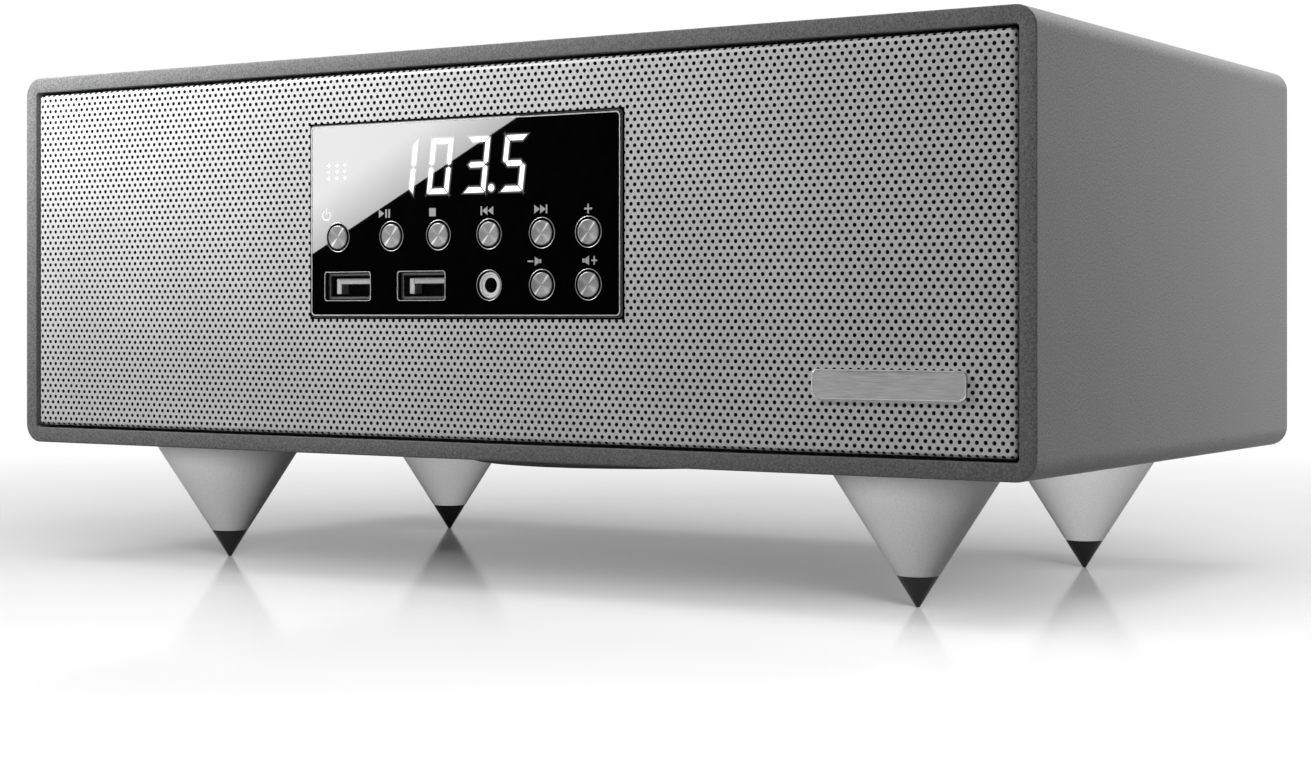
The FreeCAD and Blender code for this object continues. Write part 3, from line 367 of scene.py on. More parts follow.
def grown(seeds, tree, wanted, values):
    # runs a tree on a mesh and gives back the plain result
    host = linked("tree_host", seeds)
    modifier = host.modifiers.new("tree", "NODES")
    modifier.node_group = tree
    for title, value in values.items():
        modifier[wanted[title]] = value
    bpy.context.view_layer.update()
    shape = bpy.data.meshes.new_from_object(host.evaluated_get(bpy.context.evaluated_depsgraph_get()))
    bpy.data.objects.remove(host)
    return shape


def grilleTree():
    tree, wanted, given = startTree("perforatedSheet", "Sheet", {
        "Pitch": "Float", "Row pitch": "Float", "Hole radius": "Float", "Hole sides": "Int", "Columns": "Int",
        "Rows": "Int", "Weld": "Float", "Finish": "Material"})
    maths = partial(calc, tree)
    pitch, rowPitch, columns, rows = (given[title] for title in ("Pitch", "Row pitch", "Columns", "Rows"))
    grid = addNode(tree, "GeometryNodeMeshGrid", {
        "Size X": maths("MULTIPLY", maths("SUBTRACT", columns, 1), pitch), "Vertices X": columns,
        "Size Y": maths("MULTIPLY", maths("SUBTRACT", rows, 1), rowPitch), "Vertices Y": rows})
    # every second row moves by half a pitch
    position = tree.nodes.new("GeometryNodeInputPosition")
    parts = addNode(tree, "ShaderNodeSeparateXYZ", {0: position.outputs[0]})
    halfRows = maths("DIVIDE", maths("SUBTRACT", rows, 1), 2)
    row = maths("ADD", maths("DIVIDE", parts.outputs["Y"], rowPitch), halfRows)
    odd = maths("MODULO", maths("ROUND", row), 2)
    step = vectorOf(tree, maths("MULTIPLY", odd, maths("DIVIDE", pitch, 2)), 0, 0)
    moved = addNode(tree, "GeometryNodeSetPosition", {"Geometry": grid.outputs["Mesh"], "Offset": step})
    # one six-sided cell with its hole
    cell = addNode(tree, "GeometryNodeCurvePrimitiveCircle", {"Resolution": 6, "Radius": 1})
    shape = addNode(tree, "GeometryNodeTransform", {"Rotation": (0, 0, math.pi / 2),
                                                    "Geometry": cell.outputs["Curve"]})
    size = vectorOf(tree, maths("DIVIDE", pitch, math.sqrt(3)), maths("MULTIPLY", rowPitch, 2 / 3), 1)
    stretch = addNode(tree, "GeometryNodeTransform", {"Geometry": shape.outputs["Geometry"], "Scale": size})
    hole = addNode(tree, "GeometryNodeCurvePrimitiveCircle", {"Resolution": given["Hole sides"],
                                                              "Radius": given["Hole radius"]})
    both = addNode(tree, "GeometryNodeJoinGeometry", {0: stretch.outputs["Geometry"]})
    feed(tree, both, {0: hole.outputs["Curve"]})
    fill = addNode(tree, "GeometryNodeFillCurve", {"Curve": both.outputs[0]})
    real = setOut(tree, moved.outputs["Geometry"], fill.outputs["Mesh"])[1]
    weld = addNode(tree, "GeometryNodeMergeByDistance", {"Geometry": real, "Distance": given["Weld"]})
    endTree(tree, weld.outputs["Geometry"], given["Finish"])
    return tree, wanted


def makeGrille():
    look = {"pitch": 2.0 * mm, "rowPitch": 1.5 * mm, "holeRadius": 0.5 * mm, "holeSides": 8,
            "weld": 0.02 * mm, "sheet": 0.8 * mm, "foldRadius": 1.2 * mm, "foldSteps": 3,
            "topRowInset": 1.6 * mm, "shift": 0.3 * mm, "openingGap": 0.4 * mm, "cornerSpare": 0.3 * mm,
            "sharp": math.radians(40)}
    box, window = boxOf("grille"), boxOf("control_window")
    radius = look["foldRadius"]
    innerW, innerH = box["half"][0] - radius, box["half"][1] - radius
    bendLength = radius * math.pi / 2
    reach = bendLength + box["size"].y - radius
    tree, wanted = grilleTree()
    columns = 2 * math.ceil((innerW + reach) / look["pitch"]) + 3
    rows = 2 * math.ceil((innerH + reach) / look["rowPitch"]) + 3
    flat = grown(bpy.data.meshes.new("flat_sheet"), tree, wanted, {
        "Pitch": look["pitch"], "Row pitch": look["rowPitch"], "Hole radius": look["holeRadius"],
        "Hole sides": look["holeSides"], "Columns": columns, "Rows": rows, "Weld": look["weld"],
        "Finish": grillePaint})
    bm = bmesh.new()
    bm.from_mesh(flat)
    # the rows are set out from the top edge, and the columns a little off the middle line
    rowShift = (box["high"].z - look["topRowInset"] - box["mid"].z) % look["rowPitch"]
    bmesh.ops.translate(bm, verts=bm.verts, vec=(look["shift"], rowShift, 0))
    openMid, openW = window["mid"].x, window["half"][0] + look["openingGap"]
    openLow = window["low"].z - box["mid"].z - look["openingGap"]
    openHigh = window["high"].z - box["mid"].z + look["openingGap"]

    def slice(point, normal):
        bmesh.ops.bisect_plane(bm, geom=bm.verts[:] + bm.edges[:] + bm.faces[:], dist=1e-7,
                               plane_co=point, plane_no=normal)

    for s in [bendLength * k / look["foldSteps"] for k in range(look["foldSteps"] + 1)] + [reach]:
        for side in (-1, 1):
            slice((side * (innerW + s), 0, 0), (1, 0, 0))
            slice((0, side * (innerH + s), 0), (0, 1, 0))
    for x in (openMid - openW, openMid + openW):
        slice((x, 0, 0), (1, 0, 0))
    for z in (openLow, openHigh):
        slice((0, z, 0), (0, 1, 0))
    doomed = []
    for face in bm.faces:
        c = face.calc_center_median()
        overX, overZ = abs(c.x) - innerW, abs(c.y) - innerH
        beyond = overX > reach or overZ > reach
        corner = overX > 0 and overZ > 0 and math.hypot(overX, overZ) > bendLength + look["cornerSpare"]
        inside = abs(c.x - openMid) < openW and openLow < c.y < openHigh
        if beyond or corner or inside:
            doomed.append(face)
    bmesh.ops.delete(bm, geom=doomed, context="FACES")
    bm.verts.index_update()
    flatPlace = np.array([v.co for v in bm.verts])[:, :2]
    corners = [[v.index for v in f.verts] for f in bm.faces]
    centres = [f.calc_center_median().x for f in bm.faces]
    bm.free()

    def folded(depthIn):
        # wraps the flat sheet over the inner rectangle, at a depth below its face
        inner = np.clip(flatPlace, (-innerW, -innerH), (innerW, innerH))
        out = flatPlace - inner
        s = np.hypot(out[:, 0], out[:, 1])
        way = out / np.maximum(s, 1e-12)[:, None]
        bend = np.minimum(s, bendLength) / radius
        r = radius - depthIn
        sideways = r * np.sin(bend)
        back = radius - r * np.cos(bend) + np.maximum(s - bendLength, 0)
        return np.stack([box["mid"].x + inner[:, 0] + way[:, 0] * sideways, box["low"].y + back,
                         box["mid"].z + inner[:, 1] + way[:, 1] * sideways], axis=1)

    outer, inner = folded(0.0), folded(look["sheet"])
    bands = {"left": lambda x: x < openMid - openW, "right": lambda x: x > openMid + openW,
             "middle": lambda x: abs(x - openMid) < openW}
    for band, holds in bands.items():
        chosen = [face for face, x in zip(corners, centres) if holds(x)]
        used = sorted({v for face in chosen for v in face})
        renumber = {v: k for k, v in enumerate(used)}
        count = len(used)
        faces, indices, edgeUse = [], [], {}
        for face in chosen:
            loop = [renumber[v] for v in face]
            # the front takes the grille paint; the back, and the walls of open edges below, take the painted
            # shade
            faces += [loop, [v + count for v in reversed(loop)]]
            indices += [0, 1]
            for a, b in zip(loop, loop[1:] + loop[:1]):
                edgeUse.setdefault((min(a, b), max(a, b)), []).append((a, b))
        for uses in edgeUse.values():
            if len(uses) == 1:  # an open edge of the sheet gets a wall
                a, b = uses[0]
                faces.append([b, a, a + count, b + count])
                indices.append(1)
        mesh = bpy.data.meshes.new("grille_" + band)
        mesh.from_pydata(np.concatenate([outer[used], inner[used]]).tolist(), [], faces)
        mesh.materials.append(grillePaint)
        mesh.materials.append(holeShade)
        mesh.polygons.foreach_set("material_index", indices)
        mesh.validate()
        shaded(mesh, look["sharp"])
        settle(linked("grille_" + band, mesh), "cabinet", "grille_paint", "grille")


makeGrille()
print("grille made")


buttonNodes = [name + "_button" for name in ("power", "play", "stop", "previous", "next", "preset",
                                             "volume_down", "volume_up")]


def makeWindow():
    look = {"corner": 1.0 * mm, "cornerSteps": 6, "bevel": 0.3 * mm, "buttonHole": 3.5 * mm,
            "jackHole": 3.4 * mm, "mouth": (7.35 * mm, 3.55 * mm), "mouthCorner": 0.6 * mm, "overrun": 2 * mm}
    line = {"inset": 0.45 * mm, "width": 0.28 * mm, "proud": 0.06 * mm, "sunk": 0.2 * mm}
    box = boxOf("control_window")
    front, back = box["low"].y, box["high"].y
    paneRings = partial(rectRings, box["mid"], box["half"], look["corner"], look["cornerSteps"])
    rings = paneRings([(look["bevel"], front), (0, front + look["bevel"]), (0, back)])
    pane = objectFrom("control_window_gloss", skin(bmesh.new(), rings), [blackGloss])
    tool = bmesh.new()
    start, end = front - look["overrun"], back + look["overrun"]
    for node in buttonNodes + ["aux_jack"]:
        centre, radius = boxOf(node)["mid"], look["jackHole" if node == "aux_jack" else "buttonHole"]
        turn(tool, [(0, start), (radius, start), (radius, end), (0, end)], (centre.x, centre.z), "Y", 64)
    for node in ("usb_socket_left", "usb_socket_right"):
        mid, places = boxOf(node)["mid"], [(0, start), (0, end)]
        skin(tool, rectRings(mid, look["mouth"], look["mouthCorner"], 5, places))
    cut(pane, tool)
    settle(pane, "cabinet", "black_gloss", "control_window")
    # the bright line cut round the pane's edge, a hair proud of its face
    near, far = line["inset"], line["inset"] + line["width"]
    low, high = front + line["sunk"], front - line["proud"]
    rings = paneRings([(near, low), (near, high), (far, high), (far, low)])
    onCabinet("window_edge_line", skin(bmesh.new(), rings, closed=True), [windowEdge], "plated_metal")


makeWindow()


def ringTree():
    # one small turned bead, set at every point of the mesh that the tree is given
    tree, wanted, given = startTree("beadRings", "Beads", {
        "Places": "Geometry", "Ring radius": "Float", "Bead radius": "Float", "Ring sides": "Int",
        "Bead sides": "Int", "Finish": "Material"})
    circle, bead = (addNode(tree, "GeometryNodeCurvePrimitiveCircle", {"Resolution": given[part + " sides"],
                                                                       "Radius": given[part + " radius"]})
                    for part in ("Ring", "Bead"))
    ring = addNode(tree, "GeometryNodeCurveToMesh", {"Curve": circle.outputs["Curve"],
                                                     "Profile Curve": bead.outputs["Curve"]})
    upright = addNode(tree, "GeometryNodeTransform", {"Rotation": (math.pi / 2, 0, 0),
                                                      "Geometry": ring.outputs["Mesh"]})
    endTree(tree, setOut(tree, given["Places"], upright.outputs["Geometry"])[1], given["Finish"])
    return tree, wanted


def setAt(name, places, tree, wanted, values, slot, *nodes):
    # a mesh of bare points carries the tree
    seeds = bpy.data.meshes.new(name + "_places")
    seeds.from_pydata([tuple(p) for p in places], [], [])
    shape = grown(seeds, tree, wanted, values)
    bm = bmesh.new()
    bm.from_mesh(shape)
    onCabinet(name, bm, list(shape.materials), slot, *nodes)


def makeButtons():
    look = {"cap": 3.0 * mm, "edge": 0.25 * mm, "dish": 0.12 * mm, "dishSteps": 9, "capBack": 1.6 * mm,
            "stem": 1.9 * mm, "ring": 3.64 * mm, "ringBead": 0.09 * mm}
    paneFace = boxOf("control_window")["low"].y
    edge, flat = look["edge"], look["cap"] - look["edge"]
    capBack = paneFace + look["capBack"]
    for node in buttonNodes:
        box = boxOf(node)
        front, back = box["low"].y, box["high"].y
        shares = [k / look["dishSteps"] for k in range(look["dishSteps"])]
        profile = [(flat * s, front + look["dish"] * (1 - s ** 2)) for s in shares]
        profile += arc(flat, front + edge, edge, -90, 0)
        profile += [(look["cap"], capBack), (look["stem"], capBack), (look["stem"], back), (0, back)]
        bm = turn(bmesh.new(), profile, (box["mid"].x, box["mid"].z), "Y", 64)
        for face in bm.faces:
            # only the cap's face is bright; its skirt and stem are dark in their hole
            face.material_index = int(face.calc_center_median().y > front + edge)
        piece = objectFrom(node + "_cap", bm, [spunCap, blackPlastic])
        layer = piece.data.uv_layers.new(name="capPlace")
        for loop in piece.data.loops:
            co = piece.data.vertices[loop.vertex_index].co
            layer.data[loop.index].uv = ((co.x - box["mid"].x) / mm, (co.z - box["mid"].z) / mm)
        settle(piece, node, "brushed_plate", node)
    centres = [boxOf(node)["mid"] for node in buttonNodes + ["aux_jack"]]
    setAt("button_rings", [(c.x, paneFace, c.z) for c in centres], *ringTree(),
          {"Ring radius": look["ring"], "Bead radius": look["ringBead"], "Ring sides": 64, "Bead sides": 8,
           "Finish": windowEdge}, "plated_metal")


def spunMetal():
    # fine turned rings, and a painted highlight: a bright fan across the cap with a fainter one over it,
    # painted into the base colour; lengths in millimetres
    look = {"ringPitch": 0.16, "highlightTurn": math.radians(50), "highlightSharp": 160, "highlightWide": 6,
            "highlightWideShare": 0.08, "crossHighlightSharp": 30, "crossHighlightShare": 0.14, "grain": 4000, "base": (0.15, 0.20),
            "highlightTone": 0.60, "rough": (0.28, 0.4), "bump": 0.25, "bumpDepth": 0.01}
    material, tree, shader = newMaterial("spunCap")
    maths = partial(calc, tree)
    place = addNode(tree, "ShaderNodeUVMap", uv_map="capPlace").outputs[0]
    parts = addNode(tree, "ShaderNodeSeparateXYZ", {0: place})
    radius = addNode(tree, "ShaderNodeVectorMath", {0: place}, operation="LENGTH").outputs["Value"]
    turnings = maths("SINE", maths("MULTIPLY", radius, math.tau / look["ringPitch"]))
    angle = maths("SUBTRACT", maths("ARCTAN2", parts.outputs["Y"], parts.outputs["X"]), look["highlightTurn"])
    along, across = (maths("ABSOLUTE", maths(wave, angle)) for wave in ("COSINE", "SINE"))
    # painted highlight: the base colour is lighter along a fan at a set turn and, more faintly, across it,
    # standing for the glint of spun metal
    paintedHighlight = maths("ADD", maths("POWER", along, look["highlightSharp"]),
                maths("MULTIPLY", maths("POWER", along, look["highlightWide"]), look["highlightWideShare"]))
    paintedHighlight = maths("ADD", paintedHighlight, maths("MULTIPLY", maths("POWER", across, look["crossHighlightSharp"]), look["crossHighlightShare"]))
    base = mixed(tree, spread(tree, noiseOf(tree, look["grain"], 2), 0, 1), *[grey(t) for t in look["base"]])
    feed(tree, shader, {"Base Color": mixed(tree, maths("MINIMUM", paintedHighlight, 1.0), base, grey(look["highlightTone"])),
                        "Roughness": spread(tree, turnings, *look["rough"], -1, 1), "Metallic": 1.0,
                        "Normal": relief(tree, turnings, look["bump"], look["bumpDepth"] * mm)})
    return material


spunCap = spunMetal()
makeButtons()
print("window and buttons made")


def makeSockets():
    look = {"outer": (7.1 * mm, 3.3 * mm), "inner": (6.3 * mm, 2.6 * mm), "corner": 0.4 * mm, "depth": 9 * mm,
            "lipEdge": 0.12 * mm}
    spring = {"left": 1.1 * mm, "half": (0.75 * mm, 2.0 * mm), "front": 1.0 * mm, "length": 3 * mm,
              "edge": 0.15 * mm}
    tongue = {"left": 2.9 * mm, "right": 0.15 * mm, "halfH": 0.75 * mm, "up": 1.25 * mm, "front": 0.6 * mm,
              "back": 0.2 * mm, "edge": 0.15 * mm, "corner": 0.1 * mm}
    bead = {"half": (7.3 * mm, 3.5 * mm), "corner": 0.75 * mm, "width": 0.16 * mm, "proud": 0.06 * mm,
            "sunk": 0.2 * mm}
    face = boxOf("control_window")["low"].y
    for node in ("usb_socket_left", "usb_socket_right"):
        box = boxOf(node)
        mid, front = box["mid"], box["low"].y
        left, soft = mid.x - look["inner"][0], look["lipEdge"]
        outside = [(0, box["high"].y), (0, front + soft), (soft, front)]
        inside = [(-soft, front), (0, front + soft), (0, front + look["depth"])]
        rings = (rectRings(mid, look["outer"], look["corner"], 5, outside)
                 + rectRings(mid, look["inner"], look["corner"], 5, inside))
        onCabinet(node + "_shell", skin(bmesh.new(), rings), [platedDull], "plated_metal", node)
        # the bright spring finger at the left, folded in from the shell
        centre = Vector((left + spring["left"] + spring["half"][0], 0, mid.z))
        tip, edge = front + spring["front"], spring["edge"]
        places = [(edge, tip), (0, tip + edge), (0, tip + spring["length"])]
        rings = rectRings(centre, spring["half"], edge, 3, places)
        onCabinet(node + "_spring", skin(bmesh.new(), rings), [springSteel], "plated_metal")
        ends = (left + tongue["left"], left + 2 * look["inner"][0] - tongue["right"])
        centre = Vector((sum(ends) / 2, 0, mid.z + tongue["up"]))
        tip, edge = front + tongue["front"], tongue["edge"]
        half = ((ends[1] - ends[0]) / 2, tongue["halfH"])
        places = [(edge, tip), (0, tip + edge), (0, front + look["depth"] - tongue["back"])]
        rings = rectRings(centre, half, tongue["corner"], 3, places)
        onCabinet(node + "_tongue", skin(bmesh.new(), rings), [tongueWhite], "black_plastic")
        # bright bead round the mouth
        low, high, wide = face + bead["sunk"], face - bead["proud"], -bead["width"]
        places = [(0, low), (0, high), (wide, high), (wide, low)]
        rings = rectRings(mid, bead["half"], bead["corner"], 5, places)
        onCabinet(node + "_bead", skin(bmesh.new(), rings, closed=True), [windowEdge], "plated_metal")


def makeJack():
    look = {"bush": 3.3 * mm, "bore": 1.8 * mm, "edge": 0.3 * mm, "step": 2.5 * mm, "stepSlope": 0.2 * mm,
            "stepDepth": 0.3 * mm, "boreEdge": 0.15 * mm, "endWall": 0.8 * mm, "darkFrom": 0.5 * mm}
    box = boxOf("aux_jack")
    front, back = box["low"].y, box["high"].y
    x, z = box["mid"].x, box["mid"].z
    step, bore, end = front + look["stepDepth"], look["bore"], back - look["endWall"]
    profile = [(0, back), (look["bush"], back)]
    profile += arc(look["bush"] - look["edge"], front + look["edge"], look["edge"], 0, -90)
    profile += [(look["step"] + look["stepSlope"], front), (look["step"], step),
                (bore + look["boreEdge"], step), (bore, step + look["boreEdge"]), (bore, end), (0, end)]
    bm = turn(bmesh.new(), profile, (x, z), "Y", 64)
    for part in bm.faces:
        spot = part.calc_center_median()
        inside = math.hypot(spot.x - x, spot.z - z) < bore and spot.y > front + look["darkFrom"]
        part.material_index = int(inside)
    onCabinet("aux_jack_collar", bm, [satinCollar, blackPlastic], "plated_metal", "aux_jack")


tongueWhite = finish("tongueWhite", 0.78, 0.86, grain=1500, rough=(0.4, 0.5))
makeSockets()
makeJack()
print("sockets made")


def glowMaterial(name, strength, level):
    material, tree, shader = newMaterial(name)
    fine = noiseOf(tree, 900, 2)
    feed(tree, shader, {"Base Color": mixed(tree, spread(tree, fine, 0, 1), grey(level * 0.97), grey(level)),
                        "Roughness": spread(tree, fine, 0.35, 0.45), "Emission Color": grey(1.0),
                        "Emission Strength": strength})
    return material


def haloMaterial():
    # the pane's own gloss, with a painted glow near each segment that stands for the segments' light
    # spreading in the pane
    look = {"pane": (0.002, 0.003), "rough": (0.006, 0.012), "fall": 1.8, "glow": 0.28}
    material, tree, shader = newMaterial("haloGlow")
    fine = noiseOf(tree, 300, 2)
    near = addNode(tree, "ShaderNodeAttribute", attribute_name="near").outputs["Fac"]
    glow = mixed(tree, calc(tree, "POWER", near, look["fall"]), grey(0.0), grey(look["glow"]))
    feed(tree, shader, {"Base Color": mixed(tree, spread(tree, fine, 0, 1), *[grey(t) for t in look["pane"]]),
                        "Roughness": spread(tree, fine, *look["rough"]), "Emission Color": glow,
                        "Emission Strength": 1.0})
    return material


digitWhite = glowMaterial("digitWhite", 1.1, 0.8)
markWhite = glowMaterial("markWhite", 0.0, 0.62)
lampWhite = glowMaterial("lampWhite", 0.5, 0.8)
haloGlow = haloMaterial()


def plate(bm, outline, front, back):
    # a flat printed or lit shape as a thin closed plate in the face's plane
    skin(bm, [[Vector((a, y, b)) for a, b in outline] for y in (front, back)])


def disc(x, z, halfW, halfH, sides):
    return [(x + halfW * math.cos(math.tau * k / sides), z + halfH * math.sin(math.tau * k / sides))
            for k in range(sides)]


def makeDigits():
    look = {"cellLeft": (-20.7, -9.85, 1.25, 12.3), "shapes": ("1", "0", "3", "5"), "width": 6.5,
            "height": 13.4, "stroke": 1.25, "lean": 1.7, "gap": 0.2, "point": (9.65, 1.0, 0.85),
            "base": 5.95, "thick": 0.05, "halo": 0.7, "haloLeast": 0.35,
            # neighbouring bars have their glow at different heights, so that none lies in another's face
            "levels": {"a": 0.004, "d": 0.004, "g": 0.004, "f": 0.010, "c": 0.010, "b": 0.016, "e": 0.016}}
    segmentsOf = {"1": "bc", "0": "abcdef", "3": "abcdg", "5": "acdfg"}
    window = boxOf("control_window")
    face = window["low"].y
    back = face + look["thick"] * mm
    baseZ = window["mid"].z + look["base"] * mm
    w, h, t, g = look["width"], look["height"], look["stroke"], look["gap"]
    half = h / 2
    # each bar as its corner points inside an upright cell
    bars = {
        "a": [(g, h), (w - g, h), (w - t - g, h - t), (t + g, h - t)],
        "d": [(g, 0), (t + g, t), (w - t - g, t), (w - g, 0)],
        "f": [(0, h - g), (t, h - t - g), (t, half + t / 2 + g / 2), (t / 2, half + g), (0, half + t / 2)],
        "e": [(0, g), (0, half - t / 2), (t / 2, half - g), (t, half - t / 2 - g / 2), (t, t + g)],
        "b": [(w, h - g), (w, half + t / 2), (w - t / 2, half + g), (w - t, half + t / 2 + g / 2),
              (w - t, h - t - g)],
        "c": [(w, g), (w - t, t + g), (w - t, half - t / 2 - g / 2), (w - t / 2, half - g),
              (w, half - t / 2)],
        "g": [(t / 2 + g, half), (t + g, half + t / 2), (w - t - g, half + t / 2), (w - t / 2 - g, half),
              (w - t - g, half - t / 2), (t + g, half - t / 2)],
    }
    lit, halo = bmesh.new(), bmesh.new()
    near = halo.verts.layers.float.new("near")

    def addBar(points, level):
        # faces the viewer, so the outline runs one way round
        if sum(a[0] * b[1] - b[0] * a[1] for a, b in zip(points, points[1:] + points[:1])) < 0:
            points = points[::-1]
        plate(lit, [(a * mm, baseZ + b * mm) for a, b in points], face - look["thick"] * mm, back)
        grownOut, count = [], len(points)
        for k, here in enumerate(points):
            before, after = points[k - 1], points[(k + 1) % count]
            way = (Vector((here[1] - before[1], before[0] - here[0])).normalized()
                   + Vector((after[1] - here[1], here[0] - after[0])).normalized())
            way = way / max(way.length_squared / 2, look["haloLeast"]) * look["halo"]
            grownOut.append((here[0] + way.x, here[1] + way.y))

        def corners(outline, y):
            return [halo.verts.new((a * mm, y, baseZ + b * mm)) for a, b in outline]

        inner, outer = corners(points, face - level * mm), corners(grownOut, face - level * mm)
        innerBack, outerBack = corners(points, back), corners(grownOut, back)
        for v in inner:
            v[near] = 1.0
        for k in range(count):
            n = (k + 1) % count
            halo.faces.new((inner[k], inner[n], outer[n], outer[k]))
            halo.faces.new((innerBack[k], outerBack[k], outerBack[n], innerBack[n]))
            halo.faces.new((outer[k], outer[n], outerBack[n], outerBack[k]))
            halo.faces.new((inner[n], inner[k], innerBack[k], innerBack[n]))

    for left, shape in zip(look["cellLeft"], look["shapes"]):
        for bar in segmentsOf[shape]:
            addBar([(left + x + look["lean"] * z / h, z) for x, z in bars[bar]], look["levels"][bar])
    x, z, radius = look["point"]
    addBar(disc(x, z, radius, radius, 20), look["levels"]["b"])
    onCabinet("display_digits", lit, [digitWhite], "plated_metal")
    # the halo carries the painted glow round the lit bars
    onCabinet("display_halo", halo, [haloGlow], "black_gloss")


def makeMarks():
    # millimetres; x from the middle, and heights from a line 58.5 under the pane's middle
    look = {"line": 58.5, "thick": 0.03, "sunk": 0.05, "rowZ": 60.0, "lowRowZ": 47.7}
    # upright strokes as (x, up from the row, width, height), and arrowheads as (x, width, way)
    strokes = [(-22.55, 0, 0.5, 2.1), (-21.6, 0, 0.5, 2.1), (-8.1, 0, 2.0, 2.0), (6.7, 0, 0.45, 2.1),
               (25.85, 0, 0.45, 2.1), (37.7, -0.2, 2.2, 0.45), (37.7, 0.465, 0.45, 0.88),
               (37.7, -0.865, 0.45, 0.88)]
    arrows = {"height": 2.1, "at": [(-24.0, 1.7, 1), (7.75, 1.6, -1), (9.45, 1.6, -1), (23.1, 1.6, 1),
                                    (24.8, 1.6, 1)]}
    # a small driver: its box first and its horn widening away from it, then its sign
    drivers = {"at": ((-1, 23.3, 21.2), (1, 37.1, 39.4)), "box": (0.7, 0.7, 0.9),
               "horn": (-0.25, 0.85, 0.45, 1.1), "sign": (1.6, 0.42), "plus": (0.61, 0.42, 0.8)}
    power = {"x": -41.7, "radius": 1.45, "width": 0.4, "gap": (128, 412), "steps": 20,
             "stroke": (0.95, 0.42, 1.6)}
    dots = {"x": (-40.9, -38.3, -35.7), "z": (72.4, 70.8, 69.2), "halfW": 0.58, "halfH": 0.44, "sides": 16}
    window = boxOf("control_window")
    face = window["low"].y
    base = window["mid"].z / mm - look["line"]
    printed, lit = bmesh.new(), bmesh.new()

    def shape(bm, points):
        plate(bm, [(a * mm, (base + b) * mm) for a, b in points], face - look["thick"] * mm,
              face + look["sunk"] * mm)

    def bar(bm, x, z, w, h):
        left, right, low, high = x - w / 2, x + w / 2, z - h / 2, z + h / 2
        shape(bm, [(left, low), (right, low), (right, high), (left, high)])

    for x, up, w, h in strokes:
        bar(printed, x, look["rowZ"] + up, w, h)
    h = arrows["height"] / 2
    for x, w, way in arrows["at"]:
        a, z = way * w / 2, look["rowZ"]
        shape(printed, [(x - a, z - h), (x + a, z), (x - a, z + h)][::way])
    z = look["lowRowZ"]
    for side, middle, sign in drivers["at"]:
        inset, w, h = drivers["box"]
        bar(printed, middle - side * inset, z, w, h)
        back, front, low, high = drivers["horn"]
        near, far = middle + side * back, middle + side * front
        shape(printed, [(near, z - low), (far, z - high), (far, z + high), (near, z + low)][::side])
        bar(printed, sign, z, *drivers["sign"])
        if side > 0:
            for up in (1, -1):
                bar(printed, sign, z + up * drivers["plus"][0], *drivers["plus"][1:])
    onCabinet("printed_marks", printed, [markWhite], "plated_metal")
    x, z, r = power["x"], look["rowZ"], power["radius"]
    start, end = power["gap"]
    inner = arc(x, z, r - power["width"], end, start, power["steps"])
    shape(lit, arc(x, z, r, start, end, power["steps"]) + inner)
    bar(lit, x, z + power["stroke"][0], *power["stroke"][1:])
    for x in dots["x"]:
        for z in dots["z"]:
            shape(lit, disc(x, z, dots["halfW"], dots["halfH"], dots["sides"]))
    onCabinet("lit_marks", lit, [lampWhite], "plated_metal")


makeDigits()
makeMarks()
print("display made")


def makeBadge():
    # the plate is left bare
    look = {"corner": 1.5 * mm, "leastCorner": 0.3 * mm, "edge": 0.2 * mm, "rim": 0.35 * mm,
            "slope": 0.15 * mm, "sunk": 0.25 * mm}
    box = boxOf("badge_plate")
    front, back, edge, rim = box["low"].y, box["high"].y, look["edge"], look["rim"]
    places = [(0, back)] + arc(edge, front + edge, edge, 180, 270, 3)
    places += [(rim, front), (rim + look["slope"], front + look["sunk"])]

    def corner(inset):
        return max(look["corner"] - inset / 2, look["leastCorner"])

    rings = rectRings(box["mid"], box["half"], corner, 6, places)
    onCabinet("badge_plate_bare", skin(bmesh.new(), rings), [brushedPlate], "brushed_plate", "badge_plate")


makeBadge()


def makeFeet():
    look = {"edge": 0.6 * mm, "edgeTurns": (30, 60, 90, 118), "footEdge": (0.1 * mm, 0.15 * mm)}
    tip = {"radius": 5.0 * mm, "flat": 0.5 * mm, "endShare": 0.7, "flatEdge": 0.15 * mm,
           "topEdge": (0.12 * mm, 0.2 * mm), "fit": 0.1 * mm}
    tips = bmesh.new()
    for node in [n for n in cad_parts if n.startswith(("foot_front", "foot_rear"))]:
        box = boxOf(node)
        top, low, centre = box["high"].z, box["low"].z, (box["mid"].x, box["mid"].y)
        edge, base, radius = look["edge"], box["half"][0], tip["radius"]
        out, up = look["footEdge"]
        profile = [(0, top), (base - edge, top)]
        for way in (math.radians(a) for a in look["edgeTurns"]):
            profile.append((base - edge + edge * math.sin(way), top - edge + edge * math.cos(way)))
        profile += [(radius + out, low + up), (radius - out, low), (0, low)]
        cone = turn(bmesh.new(), profile, centre, "Z", 96)
        onCabinet(node + "_cone", cone, [footPaint], "foot_paint", node)
        profile = [(0, 0), (tip["flat"] * tip["endShare"], 0), (tip["flat"], tip["flatEdge"]),
                   (radius - tip["topEdge"][0], low - tip["topEdge"][1]), (radius - tip["fit"], low),
                   (0, low)]
        turn(tips, profile, centre, "Z", 64)
    onCabinet("foot_tips_gloss", tips, [tipBlack], "tip_black", "foot_tips")


makeFeet()
print("feet made")


def mergedCopy(node):
    bm = bmesh.new()
    bm.from_mesh(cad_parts[node].data)
    bmesh.ops.remove_doubles(bm, verts=bm.verts, dist=1e-6)
    return bm


